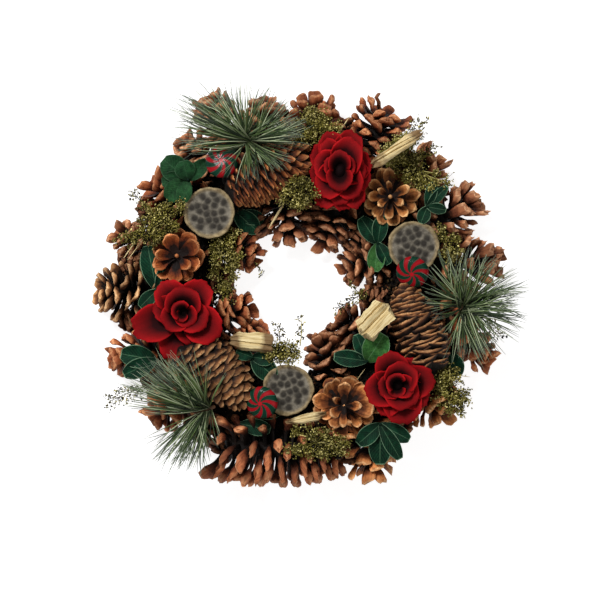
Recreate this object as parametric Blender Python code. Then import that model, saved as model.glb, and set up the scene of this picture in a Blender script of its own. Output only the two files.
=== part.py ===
"""Pinecone wreath lying on its back, its face up and the top of the wreath towards +Y.

Metres, +Z up. The origin is under the middle of the wreath, on the surface that it rests on.
A vine ring carries everything: small open cones round the rim and round the hole, larger closed
cones, cones that face up like rosettes, roses of wood shaving, lotus pods, sweets, wood chips,
leaf sprigs, moss and tufts of needles. Each piece is laid out by its clock angle (0 at the right,
90 at the top) and its distance from the middle, and is then slid until it touches what carries it.
"""
import math
import random
from collections import namedtuple

import bmesh
import bpy
from mathutils import Matrix, Vector
from mathutils.bvhtree import BVHTree

MM = 0.001
GAP = 0.35 * MM
STEP = 0.8 * MM
GLUE_DEPTH = 2.0 * MM
FLOOR_CLEARANCE = 0.8 * MM
UP = Vector((0, 0, 1))
DOWN = Vector((0, 0, -1))

# The ring: radius to the middle of its section, the section's half sizes and its twisted strands.
RING_RADIUS = 97 * MM
RING_HALF_WIDTH = 17 * MM
RING_HALF_HEIGHT = 12 * MM
RING_STRANDS = 3
RING_TWISTS = 12
RING_RELIEF = 0.10
RING_SEGMENTS = 38
RING_SIDES = 10
RING_OUTSIDE = RING_RADIUS + RING_HALF_WIDTH
RING_INSIDE = RING_RADIUS - RING_HALF_WIDTH

Cone = namedtuple("Cone", "name clock radius aim width seen lift scales layers stalk_out")
Resting = namedtuple("Resting", "name clock radius aim width length lift scales layers")

# Cones round the rim. Clock and radius place the middle of what shows, aim is where the free end
# points, seen is the length that shows; the rest runs back to the ring.
RIM_CONES = [
    Cone("cone_rim_09", 180.3, 147, 180, 50, 48, 6, 7, 5, False),
    Cone("cone_rim_0930", 162.4, 145, 160, 36, 40, 10, 6, 4, False),
    Cone("cone_rim_10", 142.5, 140, 146, 44, 44, 6, 6, 4, False),
    Cone("cone_rim_11", 127.0, 145, 132, 34, 36, 14, 6, 4, False),
    Cone("cone_rim_1120", 114.5, 156, 119, 36, 36, 4, 6, 4, False),
    Cone("cone_rim_1140", 99.5, 151, 96, 38, 40, 10, 6, 4, False),
    Cone("cone_rim_12", 84.4, 148, 88, 48, 42, 6, 7, 4, False),
    Cone("cone_rim_01", 63.3, 148, 68, 45, 46, 4, 7, 5, True),
    Cone("cone_rim_0130", 44.0, 149, 52, 38, 40, 12, 6, 4, False),
    Cone("cone_rim_02", 27.5, 148, 31, 44, 50, 4, 7, 5, False),
    Cone("cone_rim_0230", 9.0, 150, 4, 42, 46, 12, 6, 5, False),
    Cone("cone_rim_0330", 342.0, 158, 322, 38, 38, 6, 6, 4, False),
    Cone("cone_rim_0430", 320.2, 152, 314, 46, 42, 6, 6, 4, False),
    Cone("cone_rim_0515", 293.2, 154, 282, 44, 42, 4, 7, 4, False),
    Cone("cone_rim_0730", 222.5, 146, 216, 42, 42, 8, 6, 4, False),
    Cone("cone_rim_0830", 201.0, 149, 196, 40, 42, 4, 6, 4, False),
]
# Cones round the hole, their tips towards it.
HOLE_CONES = [
    Cone("cone_hole_10", 144.2, 51, 336, 34, 34, 12, 6, 4, False),
    Cone("cone_hole_12", 97.7, 55, 277, 40, 36, 8, 6, 4, False),
    Cone("cone_hole_01", 58.6, 56, 248, 40, 38, 14, 6, 4, False),
    Cone("cone_hole_02", 22.3, 54, 196, 34, 34, 6, 6, 4, False),
    Cone("cone_hole_04", 330.6, 51, 152, 38, 36, 12, 6, 4, False),
    Cone("cone_hole_05", 290.7, 53, 105, 38, 36, 6, 6, 4, False),
    Cone("cone_hole_0830", 198.2, 54, 12, 38, 38, 8, 6, 4, False),
    Cone("cone_hole_0730", 231.7, 54, 58, 30, 32, 14, 6, 4, False),
]
# Cones that touch so closely that they are glued into one body.
GLUED_PAIRS = [
    ("cone_rim_1120", "cone_rim_1140"),
    ("cone_rim_0130", "cone_rim_02"),
    ("cone_hole_12", "cone_hole_01"),
    ("cone_hole_04", "cone_hole_05"),
    ("cone_hole_0830", "cone_hole_0730"),
]
# The large open cone that lies along the rim at six o'clock.
LARGE_CONE = Resting("cone_large_open", 262.0, 133, -4, 60, 116, 0, 9, 8)
# Closed cones on top of the ring, aim is where the tip points.
CLOSED_CONES = [
    Resting("cone_closed_1130", 102.8, 100, 203.6, 49, 74, 0, 9, 9),
    Resting("cone_closed_0730", 225.4, 93, 315.0, 50, 72, 0, 9, 9),
    Resting("cone_closed_0330", 342.9, 103, 110.0, 46, 74, 0, 9, 9),
]
# Open cones that face up: name, clock, radius, width, height, turn.
ROSETTES = [
    ("cone_rosette_0930", 164.0, 102.4, 48, 32, 12),
    ("cone_rosette_0130", 45.6, 108.4, 52, 34, 30),
    ("cone_rosette_05", 292.8, 101.4, 56, 34, 4),
]
# Roses: name, clock, radius, width, height, petals in each layer from the outside, turn.
ROSES = [
    ("rose_1240", 69.5, 104.0, 60, 26, (5, 4, 3), 8),
    ("rose_0840", 193.0, 98.5, 66, 28, (5, 3), 40),
    ("rose_0430", 316.2, 114.8, 58, 26, (5, 3), 70),
]
# Lotus pods: name, clock, radius, width, height.
LOTUS_PODS = [
    ("lotus_pod_1030", 138.2, 96.3, 42, 26),
    ("lotus_pod_0215", 20.9, 102.3, 42, 26),
    ("lotus_pod_06", 264.8, 81.5, 42, 26),
]
# Sweets: name, clock, radius, turn of the swirl, tilt, and the way that the face leans.
SWEETS = [
    ("sweet_11", 120.1, 119.9, 0, 20, 120),
    ("sweet_0240", 10.5, 96.7, 20, 24, 250),
    ("sweet_0620", 253.3, 94.2, 40, 20, 210),
]
SWEET_WIDTH = 27 * MM
SWEET_HEIGHT = 11 * MM
# Wood chips: name, clock, radius, aim, length, width, thickness, tilt.
CHIPS = [
    ("chip_0740", 228.7, 56.0, -6, 32, 13, 4.0, 4),
    ("chip_06", 274.0, 104.0, 12, 30, 7, 2.5, 8),
    ("chip_0340", 339.4, 67.5, 46, 30, 20, 8.0, 10),
    ("chip_01", 55.0, 141.0, 34, 46, 9, 4.0, 6),
]
# Leaf sprigs: name, clock and radius of the knot, then each leaf's aim, length, width and rise.
LEAF_SPRIGS = [
    ("leaves_10", 134.0, 126, [(120, 20, 15, 20), (180, 22, 17, 12), (240, 21, 16, 10), (60, 17, 12, 26)]),
    ("leaves_0930", 170.0, 113, [(108, 27, 13, 16), (168, 24, 14, 8), (232, 26, 12, 14)]),
    ("leaves_0830", 205.0, 126, [(172, 30, 15, 6), (206, 30, 14, 6)]),
    ("leaves_02", 31.0, 80, [(128, 28, 12, 12), (36, 24, 11, 22), (250, 22, 12, 8)]),
    ("leaves_0150", 33.0, 127, [(66, 22, 12, 20), (8, 24, 12, 12), (290, 20, 11, 24)]),
    ("leaves_07", 237.0, 62, [(318, 19, 12, 4), (8, 17, 11, 12)]),
    ("leaves_04", 315.0, 79, [(70, 30, 19, 16), (132, 26, 13, 12), (168, 30, 15, 8)]),
    ("leaves_05", 302.0, 136, [(268, 30, 16, 6), (316, 26, 14, 8), (224, 22, 11, 14), (352, 20, 11, 14)]),
]
LEAF_THICKNESS = 0.9 * MM
LEAF_STEP = 1.8 * MM
PETAL_THICKNESS = 1.0 * MM
PETAL_CUP = 0.34
# Moss clumps: name, clock, radius, aim, length, width, height.
MOSS = [
    ("moss_0930", 155.0, 128, 30, 40, 24, 16),
    ("moss_12", 84.0, 131, 0, 42, 20, 16),
    ("moss_12_inner", 89.0, 78, 70, 28, 18, 16),
    ("moss_0130", 46.5, 139, 330, 40, 22, 16),
    ("moss_0230", 17.5, 130, 300, 30, 22, 16),
    ("moss_0430", 327.0, 146, 300, 34, 22, 16),
    ("moss_0530", 277.0, 125, 0, 44, 20, 14),
    ("moss_09_inner", 153.0, 66, 270, 38, 22, 16),
    ("moss_0630", 258.0, 52, 10, 34, 16, 14),
]
# Needle tufts: name, clock, radius and height of the knot, needle length, then the fans of needles:
# the aim where each starts and its share of the needles.
TUFTS = [
    ("needles_1130", 106.7, 129.5, 62, 60, [(0, 12), (95, 26), (205, 2), (225, 8), (345, 1)]),
    ("needles_0730", 232.0, 124.0, 60, 56, [(118, 18), (182, 22), (262, 5), (290, 3)]),
    ("needles_03", 353.8, 135.5, 60, 54, [(0, 1), (180, 1)]),
]
TUFT_COLUMNS = 9
TUFT_TIERS = 5
TUFT_STEM_RADIUS = 3.6 * MM
TUFT_STEM_HEIGHT = 12 * MM
TUFT_FOOT_LENGTH = 26 * MM
NEEDLE_HALF_WIDTH = 0.40 * MM
STEEPEST_NEEDLE = 66
SHORT_NEEDLE = 4 * MM

COLOURS = {
    "vine": (0.16, 0.09, 0.05),
    "cone": (0.36, 0.19, 0.10),
    "cone_pale": (0.50, 0.34, 0.20),
    "cone_golden": (0.45, 0.25, 0.09),
    "rose": (0.50, 0.01, 0.02),
    "pod": (0.16, 0.15, 0.12),
    "sweet": (0.60, 0.03, 0.04),
    "chip": (0.72, 0.62, 0.40),
    "leaf": (0.02, 0.15, 0.06),
    "moss": (0.17, 0.19, 0.06),
    "needle": (0.09, 0.17, 0.10),
}
ROUGHNESS = {"rose": 0.9, "moss": 0.95, "sweet": 0.25, "leaf": 0.6}

placed_trees = []


def clear_scene():
    """Removes every object of the open file."""
    for thing in list(bpy.data.objects):
        bpy.data.objects.remove(thing)


def material(name):
    """The named finish, made once."""
    found = bpy.data.materials.get(name)
    if found:
        return found
    finish = bpy.data.materials.new(name)
    finish.use_nodes = True
    shader = finish.node_tree.nodes["Principled BSDF"]
    shader.inputs["Base Color"].default_value = (*COLOURS[name], 1)
    shader.inputs["Roughness"].default_value = ROUGHNESS.get(name, 0.75)
    return finish


def add_object(name, vertices, faces, finish):
    """A named object from one closed shell, its faces made to point outwards."""
    mesh = bpy.data.meshes.new(name)
    mesh.from_pydata([tuple(v) for v in vertices], [], faces)
    shell = bmesh.new()
    shell.from_mesh(mesh)
    bmesh.ops.triangulate(shell, faces=shell.faces)
    bmesh.ops.recalc_face_normals(shell, faces=shell.faces)
    shell.to_mesh(mesh)
    shell.free()
    thing = bpy.data.objects.new(name, mesh)
    thing.data.materials.append(material(finish))
    bpy.context.scene.collection.objects.link(thing)
    return thing


def polar(clock, radius, height=0.0):
    """A point by its clock angle in degrees and its distance from the middle."""
    angle = math.radians(clock)
    return Vector((radius * math.cos(angle), radius * math.sin(angle), height))


def between(low, high, share):
    """The value a share of the way from low to high."""
    return low + (high - low) * share


def lattice_shell(count, layers, core, grow, depth, place=None, foot_depth=None):
    """A core tiled by diamonds, each drawn out into a scale, along +Z from the base to the tip.

    Row k of the lattice has count points, every other row turned by half a step, and core(u) is its
    (radius, height) at the share u of the length. The diamond round the middle of each side of rows
    1 to layers grows a scale to the point and half width that grow(u, root, outward) gives. depth is
    the thickness of the scale's end, and 0 gives a plain edge. place(t) turns a share of the way
    round into an angle, evenly if it isn't given. The foot is a point foot_depth below the base.
    """
    rows = layers + 2
    vertices = []
    faces = []

    def angle_at(row, column):
        share = (column + 0.5 * (row % 2)) / count
        return place(share) if place else 2 * math.pi * share

    def lattice(row, column):
        return row * count + column % count

    def across(row, column):
        return column + 1 if row % 2 else column

    for row in range(rows):
        radius, height = core(row / (rows - 1))
        for column in range(count):
            angle = angle_at(row, column)
            vertices.append(Vector((radius * math.cos(angle), radius * math.sin(angle), height)))
    for row in range(1, rows - 1):
        share = row / (rows - 1)
        radius, height = core(share)
        for column in range(count):
            angle = angle_at(row, column + 0.5)
            outward = Vector((math.cos(angle), math.sin(angle), 0))
            root = outward * radius + UP * height
            end, half = grow(share, root, outward)
            blade = (end - root).normalized()
            sideways = UP.cross(blade).normalized()
            lift = sideways.cross(blade)
            below = lattice(row - 1, across(row, column))
            above = lattice(row + 1, across(row, column))
            near = lattice(row, column)
            far = lattice(row, column + 1)
            left = len(vertices)
            right = left + 1
            vertices.append(end - sideways * half - lift * depth * 0.5)
            vertices.append(end + sideways * half - lift * depth * 0.5)
            faces += [(below, far, right), (far, above, right)]
            faces += [(above, left, right), (above, near, left)]
            if depth:
                keel = left + 2
                vertices.append(end + blade * depth * 0.3 + lift * depth * 0.5)
                faces += [(below, right, keel), (near, below, keel)]
                faces += [(near, keel, left), (keel, right, left)]
            else:
                faces += [(below, right, left), (near, below, left)]
    last = rows - 1
    for column in range(count):
        faces.append((lattice(0, column), lattice(0, column + 1), lattice(1, across(0, column))))
        before = lattice(last - 1, across(last, column))
        faces.append((before, lattice(last, column + 1), lattice(last, column)))
    bottom_radius, bottom_height = core(0)
    top_radius, top_height = core(1)
    foot = len(vertices)
    crown = foot + 1
    vertices.append(UP * (bottom_height - (foot_depth or 0.3 * bottom_radius)))
    vertices.append(UP * (top_height + 0.8 * top_radius))
    for column in range(count):
        faces.append((lattice(0, column + 1), lattice(0, column), foot))
        faces.append((lattice(last, column), lattice(last, column + 1), crown))
    return vertices, faces


def turned_aside(outward, degrees):
    """The outward direction, turned round Z."""
    return Matrix.Rotation(math.radians(degrees), 3, "Z") @ outward


def fit(vertices, width, length):
    """Scales the shell to its width across Z and its length along Z, and centres it on Z."""
    widest = max(math.hypot(v.x, v.y) for v in vertices)
    lowest = min(v.z for v in vertices)
    highest = max(v.z for v in vertices)
    across = width / 2 / widest
    along = length / (highest - lowest)
    middle = (lowest + highest) / 2
    return [Vector((v.x * across, v.y * across, (v.z - middle) * along)) for v in vertices]


def open_cone(name, width, length, scales, layers, seed):
    """A ripe cone with its scales spread: wide near the base, closing in towards the tip."""
    half = width / 2
    rng = random.Random(seed)

    def core(share):
        return half * between(0.34, 0.12, share), length * between(0.14, 0.86, share)

    def grow(share, root, outward):
        core_radius, height = core(share)
        spread = half * math.sin(math.pi * between(0.30, 0.93, share)) ** 0.8
        reach = (spread - core_radius) * rng.uniform(0.86, 1.0)
        rise = math.tan(math.radians(between(-16, 62, share ** 1.2))) * 0.8
        radius = core_radius + reach
        widest = radius * math.tan(math.pi / scales) * 0.55
        paddle = half * 0.27 * math.sin(math.pi * between(0.30, 0.84, share))
        tip = turned_aside(outward, rng.uniform(-3, 3)) * radius + UP * (height + reach * rise)
        return tip, min(widest, paddle)

    shell, faces = lattice_shell(scales, layers, core, grow, 2.4 * MM)
    return add_object(name, fit(shell, width, length), faces, "cone")


def long_open_cone(name, width, length, scales, layers, seed):
    """The large ripe cone: long narrow scales that stand out square to its axis."""
    half = width / 2
    rng = random.Random(seed)

    def core(share):
        return half * between(0.30, 0.16, share), length * between(0.16, 0.86, share)

    def grow(share, root, outward):
        core_radius, height = core(share)
        spread = half * math.sin(math.pi * between(0.30, 0.90, share)) ** 0.6
        reach = (spread - core_radius) * rng.uniform(0.86, 1.0)
        rise = math.tan(math.radians(between(-44, 50, share))) * 0.7
        tip = turned_aside(outward, rng.uniform(-4, 4)) * (core_radius + reach)
        return tip + UP * (height + reach * rise), 3.6 * MM * math.sin(math.pi * between(0.38, 0.82, share))

    shell, faces = lattice_shell(scales, layers, core, grow, 2.6 * MM)
    return add_object(name, fit(shell, width, length), faces, "cone")


def closed_cone(name, width, length, scales, layers, seed):
    """A closed cone: shingled scales that lie along its egg-shaped body."""
    half = width / 2
    pitch = length / (layers + 1)
    rng = random.Random(seed)

    def body(share):
        return half * math.sin(math.pi * between(0.17, 0.93, share)) ** 0.62

    def core(share):
        return body(share) * 0.84, length * between(0.05, 0.93, share)

    def grow(share, root, outward):
        radius = body(share) * rng.uniform(0.97, 1.0)
        return outward * radius + UP * (root.z + pitch * 0.72), radius * math.sin(math.pi / scales) * 0.62

    shell, faces = lattice_shell(scales, layers, core, grow, 0)
    return add_object(name, fit(shell, width, length), faces, "cone_pale")


def spoon_rosette(name, width, height, turn, seed, finish):
    """A cone seen from its tip: rounded spoon scales in rings, each ring smaller and steeper."""
    count = 7
    layers = 3
    rows = layers + 2
    half = width / 2
    step = 2 * math.pi / count
    rng = random.Random(seed)
    vertices = []
    faces = []

    def core(share):
        return half * between(0.36, 0.10, share), height * between(0.10, 0.80, share)

    def ring_faces(lower, upper):
        for side in range(4):
            following = (side + 1) % 4
            faces.append((lower[side], lower[following], upper[following]))
            faces.append((lower[side], upper[following], upper[side]))

    def section(centre, sideways, lift, half_width, half_depth):
        first = len(vertices)
        vertices.append(centre - lift * half_depth)
        vertices.append(centre + sideways * half_width + lift * half_depth * 0.9)
        vertices.append(centre + lift * half_depth * 0.5)
        vertices.append(centre - sideways * half_width + lift * half_depth * 0.9)
        return [first, first + 1, first + 2, first + 3]

    for row in range(rows):
        radius, level = core(row / (rows - 1))
        for column in range(count):
            angle = (column + 0.5 * (row % 2)) * step
            vertices.append(Vector((radius * math.cos(angle), radius * math.sin(angle), level)))
    for row in range(1, rows - 1):
        share = (row - 1) / (layers - 1)
        shift = 1 if row % 2 else 0
        for column in range(count):
            angle = (column + 0.5 + 0.5 * (row % 2)) * step + rng.uniform(-0.05, 0.05)
            outward = Vector((math.cos(angle), math.sin(angle), 0))
            sideways = Vector((-math.sin(angle), math.cos(angle), 0))
            rise = math.radians(between(-4, 54, share))
            root_radius, root_height = core(row / (rows - 1))
            reach = (half * between(1.0, 0.40, share) - root_radius) * rng.uniform(0.92, 1.0)
            blade = outward * math.cos(rise) + UP * math.sin(rise)
            lift = sideways.cross(blade) * -1
            root = outward * root_radius + UP * root_height
            widest = half * between(0.28, 0.07, share)
            base = [
                (row - 1) * count + (column + shift) % count,
                row * count + (column + 1) % count,
                (row + 1) * count + (column + shift) % count,
                row * count + column % count,
            ]
            bowl = root + blade * reach * 0.68 + lift * 0.5 * MM
            lip = root + blade * reach + lift * 1.5 * MM
            middle = section(bowl, sideways, lift, widest, 1.6 * MM)
            end = section(lip, sideways, lift, widest * 0.62, 1.0 * MM)
            ring_faces(base, middle)
            ring_faces(middle, end)
            faces.append((end[0], end[1], end[2]))
            faces.append((end[0], end[2], end[3]))
    last = rows - 1
    for column in range(count):
        following = (column + 1) % count
        beyond = following if last % 2 else column
        faces.append((column, following, count + column))
        faces.append(((last - 1) * count + beyond, last * count + following, last * count + column))
    foot = len(vertices)
    vertices.append(UP * 0.0)
    vertices.append(UP * height)
    for column in range(count):
        following = (column + 1) % count
        faces.append((following, column, foot))
        faces.append((last * count + column, last * count + following, foot + 1))
    turned = [Matrix.Rotation(math.radians(turn), 4, "Z") @ v for v in fit(vertices, width, height)]
    return add_object(name, turned, faces, finish)


def blade_shell(length, width, start, end, cup, thickness, stations):
    """An arched plate that grows along +X from the origin, three points across.

    start and end are its slopes in degrees at the root and at the tip, cup raises its edges, and
    stations are pairs of the share of the length and the share of the half width there.
    """
    centre = Vector((0, 0, 0))
    previous = stations[0][0]
    top = []
    for share, spread in stations:
        slope = math.radians(between(start, end, (share + previous) / 2))
        centre = centre + Vector((math.cos(slope), 0, math.sin(slope))) * (share - previous) * length
        previous = share
        here = math.radians(between(start, end, share))
        normal = Vector((-math.sin(here), 0, math.cos(here)))
        half = width / 2 * spread
        edge = normal * cup * half
        row = [centre + Vector((0, -half, 0)) + edge, centre.copy(), centre + Vector((0, half, 0)) + edge]
        top.append((row, normal))
    vertices = []
    for row, normal in top:
        vertices += row
    for row, normal in top:
        vertices += [point - normal * thickness for point in row]
    under = len(top) * 3
    faces = []
    for station in range(len(top) - 1):
        here = station * 3
        ahead = here + 3
        quads = [(here, ahead, ahead + 1, here + 1), (here + 1, ahead + 1, ahead + 2, here + 2)]
        for a, b, c, d in quads:
            faces += [(a, b, c), (a, c, d)]
            faces += [(a + under, c + under, b + under), (a + under, d + under, c + under)]
        faces += [(here + under, ahead + under, ahead), (here + under, ahead, here)]
        faces += [(here + 2, ahead + 2, ahead + 2 + under), (here + 2, ahead + 2 + under, here + 2 + under)]
    last = (len(top) - 1) * 3
    for column in range(2):
        faces += [(column, column + 1, column + 1 + under), (column, column + 1 + under, column + under)]
        near = last + column
        faces += [(near, near + under, near + 1 + under), (near, near + 1 + under, near + 1)]
    return vertices, faces


def turned_shell(profile, sides, relief=None):
    """A turned shape from (radius, height) pairs, bottom to top, closed at both ends by a point."""
    vertices = []
    faces = []
    rings = profile[1:-1]
    for ring, (radius, height) in enumerate(rings):
        for side in range(sides):
            angle = 2 * math.pi * side / sides
            raised = relief(ring, side) if relief else 0
            vertices.append(Vector((radius * math.cos(angle), radius * math.sin(angle), height + raised)))
    foot = len(vertices)
    vertices.append(UP * profile[0][1])
    vertices.append(UP * profile[-1][1])
    for side in range(sides):
        following = (side + 1) % sides
        faces.append((following, side, foot))
        last = (len(rings) - 1) * sides
        faces.append((last + side, last + following, foot + 1))
        for ring in range(len(rings) - 1):
            low = ring * sides
            high = low + sides
            faces.append((low + side, low + following, high + following))
            faces.append((low + side, high + following, high + side))
    return vertices, faces


def tube_shell(start, end, start_radius, end_radius, sides):
    """A straight tapering rod between two points."""
    along = (end - start).normalized()
    aside = along.orthogonal().normalized()
    across = along.cross(aside)
    vertices = []
    for centre, radius in ((start, start_radius), (end, end_radius)):
        for side in range(sides):
            angle = 2 * math.pi * side / sides
            vertices.append(centre + (aside * math.cos(angle) + across * math.sin(angle)) * radius)
    faces = [tuple(reversed(range(sides))), tuple(range(sides, 2 * sides))]
    for side in range(sides):
        following = (side + 1) % sides
        faces.append((side, following, sides + following, sides + side))
    return vertices, faces


def fuse(core, repeats):
    """One Boolean union that joins the repeats, given in the core's frame, to it, and removes them."""
    place = core.matrix_basis.copy()
    core.matrix_basis = Matrix.Identity(4)
    group = bpy.data.collections.new(core.name + "_repeats")
    bpy.context.scene.collection.children.link(group)
    for repeat in repeats:
        bpy.context.scene.collection.objects.unlink(repeat)
        group.objects.link(repeat)
    union = core.modifiers.new("union", "BOOLEAN")
    union.operation = "UNION"
    union.operand_type = "COLLECTION"
    union.collection = group
    union.solver = "EXACT"
    graph = bpy.context.evaluated_depsgraph_get()
    joined = bpy.data.meshes.new_from_object(core.evaluated_get(graph))
    core.modifiers.clear()
    core.data = joined
    for repeat in repeats:
        bpy.data.objects.remove(repeat)
    bpy.data.collections.remove(group)
    shell = bmesh.new()
    shell.from_mesh(joined)
    bmesh.ops.remove_doubles(shell, verts=shell.verts, dist=0.000001)
    bmesh.ops.triangulate(shell, faces=shell.faces)
    keep_largest(shell)
    shell.to_mesh(joined)
    shell.free()
    core.matrix_basis = place
    return core


def keep_largest(shell):
    """Drops loose scraps: only the connected shell with the most faces stays."""
    waiting = set(shell.verts)
    groups = []
    while waiting:
        first = waiting.pop()
        group = {first}
        border = [first]
        while border:
            vertex = border.pop()
            for edge in vertex.link_edges:
                other = edge.other_vert(vertex)
                if other not in group:
                    group.add(other)
                    border.append(other)
        waiting -= group
        groups.append(group)
    groups.sort(key=len)
    scraps = [vertex for group in groups[:-1] for vertex in group]
    bmesh.ops.delete(shell, geom=scraps, context="VERTS")


def world_tree(thing, shift=Vector((0, 0, 0))):
    """The object's faces in world space, moved by the shift."""
    place = thing.matrix_basis
    points = [place @ vertex.co + shift for vertex in thing.data.vertices]
    return BVHTree.FromPolygons(points, [tuple(face.vertices) for face in thing.data.polygons])


def world_box(thing):
    """The object's lowest and highest corners in world space."""
    points = [thing.matrix_basis @ vertex.co for vertex in thing.data.vertices]
    low = Vector([min(point[axis] for point in points) for axis in range(3)])
    high = Vector([max(point[axis] for point in points) for axis in range(3)])
    return low, high


def settle(thing):
    """Keeps the object where it is, for later pieces to rest against."""
    low, high = world_box(thing)
    placed_trees.append((low, high, world_tree(thing)))


def neighbours(low, high, direction):
    """The settled pieces that lie in the way of a box that slides along the direction."""
    found = []
    flat = abs(direction.z) < 0.5
    for other_low, other_high, tree in placed_trees:
        apart = other_low.x > high.x or other_high.x < low.x or other_low.y > high.y or other_high.y < low.y
        if flat or not apart:
            found.append((other_high.z, tree))
    return found


def touches(thing, shift, trees):
    """Whether the object, moved by the shift, cuts any of the trees."""
    moved = world_tree(thing, shift)
    return any(moved.overlap(tree) for tree in trees)


def slide(thing, direction, reach):
    """Slides the object along the direction, up to the reach, to its first touch, and settles it."""
    low, high = world_box(thing)
    ahead = neighbours(low, high, direction)
    trees = [tree for top, tree in ahead]
    travelled = 0.0
    while touches(thing, direction * travelled, trees):
        travelled -= STEP
    while travelled < reach and not touches(thing, direction * (travelled + STEP), trees):
        travelled += STEP
    free = travelled
    blocked = travelled + STEP
    for halving in range(5):
        middle = (free + blocked) / 2
        if touches(thing, direction * middle, trees):
            blocked = middle
        else:
            free = middle
    thing.location += direction * (free - GAP)
    bpy.context.view_layer.update()
    settle(thing)
    return thing


def drop(thing, clock, radius):
    """Lowers the object over its place until it touches what is under it."""
    thing.location = polar(clock, radius * MM)
    low, high = world_box(thing)
    under = neighbours(low, high, DOWN)
    top = max([height for height, tree in under] + [0])
    thing.location.z += top - low.z + GAP
    return slide(thing, DOWN, top)


def stand_above_floor(thing):
    """Lifts the object so that its lowest point is just clear of the surface."""
    low, high = world_box(thing)
    thing.location.z += FLOOR_CLEARANCE - low.z


def lay(thing, aim, lift):
    """Turns a piece made along +Z so that its tip aims at the clock angle, raised by the lift."""
    flat = Matrix.Rotation(math.radians(90 - lift), 4, "Y")
    heading = Matrix.Rotation(math.radians(aim), 4, "Z")
    thing.rotation_euler = (heading @ flat).to_euler()
    return thing


def length_to_ring(free_end, aim, ring_radius):
    """How far it is from the free end back along the aim to the ring's circle."""
    heading = polar(aim, 1.0)
    along = free_end.dot(heading)
    aside = free_end.dot(free_end) - along * along
    chord = math.sqrt(max(ring_radius * ring_radius - aside, 0))
    far = along - chord if along > 0 else along + chord
    return abs(far)


def make_ring():
    """The vine ring: strands twisted round each other, flat underneath where it rests."""
    vertices = []
    faces = []
    quarter = math.radians(-90) - math.pi / RING_SIDES
    for segment in range(RING_SEGMENTS):
        around = 2 * math.pi * segment / RING_SEGMENTS
        for side in range(RING_SIDES):
            angle = quarter + 2 * math.pi * side / RING_SIDES
            wave = 1 + RING_RELIEF * math.cos(RING_STRANDS * angle - RING_TWISTS * around)
            resting = side < 2
            if resting:
                wave = 1
            radius = RING_RADIUS + RING_HALF_WIDTH * wave * math.cos(angle)
            floor = RING_HALF_HEIGHT * math.cos(math.pi / RING_SIDES)
            height = 0.0 if resting else floor + RING_HALF_HEIGHT * wave * math.sin(angle)
            vertices.append(Vector((radius * math.cos(around), radius * math.sin(around), height)))
    for segment in range(RING_SEGMENTS):
        here = segment * RING_SIDES
        ahead = (segment + 1) % RING_SEGMENTS * RING_SIDES
        for side in range(RING_SIDES):
            following = (side + 1) % RING_SIDES
            faces.append((here + side, ahead + side, ahead + following, here + following))
    ring = add_object("ring_base", vertices, faces, "vine")
    settle(ring)
    return ring


def make_ring_cone(spec, ring_radius, seed):
    """A small open cone from the ring's side to its free end, lying just clear of the surface."""
    middle = polar(spec.clock, spec.radius * MM)
    free_end = middle + polar(spec.aim, spec.seen / 2 * MM)
    length = length_to_ring(free_end, spec.aim, ring_radius)
    cone = open_cone(spec.name, spec.width * MM, length, spec.scales, spec.layers, seed)
    if spec.stalk_out:
        stalk_end = Vector((1 * MM, 0, -0.68 * length))
        stalk = tube_shell(UP * -0.30 * length, stalk_end, 1.8 * MM, 1.4 * MM, 6)
        fuse(cone, [add_object("stalk", *stalk, "cone")])
        lay(cone, spec.aim + 180, -spec.lift)
    else:
        lay(cone, spec.aim, spec.lift)
    cone.location = free_end - polar(spec.aim, length / 2)
    stand_above_floor(cone)
    return cone


def make_ring_cones():
    """All the cones round the rim and the hole, each pushed up against the ring."""
    made = {}
    clearance = 6 * MM
    for seed, spec in enumerate(RIM_CONES + HOLE_CONES):
        ring_radius = RING_OUTSIDE if spec in RIM_CONES else RING_INSIDE
        made[spec.name] = (make_ring_cone(spec, ring_radius, seed + 1), spec)
    second_halves = {second: first for first, second in GLUED_PAIRS}
    for first, second in GLUED_PAIRS:
        glue(made[first][0], made[second][0])
    for name, (cone, spec) in made.items():
        if name in second_halves:
            continue
        cone.location += polar(spec.aim, clearance)
        slide(cone, -polar(spec.aim, 1.0), 2.5 * clearance)


def glue(cone, other):
    """Pushes the second cone into the first until they hold, and joins them in the first's frame."""
    towards = cone.location - other.location
    towards.z = 0
    towards.normalize()
    trees = [world_tree(cone)]
    travelled = 0.0
    while not touches(other, towards * travelled, trees):
        travelled += STEP
    other.location += towards * (travelled + GLUE_DEPTH)
    bpy.context.view_layer.update()
    between_frames = cone.matrix_basis.inverted() @ other.matrix_basis
    other.data.transform(between_frames)
    other.matrix_basis = Matrix.Identity(4)
    fuse(cone, [other])


def make_large_cone():
    """The large open cone, laid along the rim on the ring's shoulder."""
    spec = LARGE_CONE
    cone = long_open_cone(spec.name, spec.width * MM, spec.length * MM, spec.scales, spec.layers, 71)
    lay(cone, spec.aim, spec.lift)
    drop(cone, spec.clock, spec.radius)


def make_closed_cones():
    """The closed cones, laid on top of the ring."""
    for seed, spec in enumerate(CLOSED_CONES):
        size = spec.width * MM, spec.length * MM
        cone = closed_cone(spec.name, *size, spec.scales, spec.layers, 81 + seed)
        lay(cone, spec.aim, spec.lift)
        drop(cone, spec.clock, spec.radius)


def make_rosettes():
    """The cones that face up."""
    finishes = ["cone", "cone_golden", "cone_golden"]
    for seed, (name, clock, radius, width, height, turn) in enumerate(ROSETTES):
        cone = spoon_rosette(name, width * MM, height * MM, turn, 91 + seed, finishes[seed])
        drop(cone, clock, radius)


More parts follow.
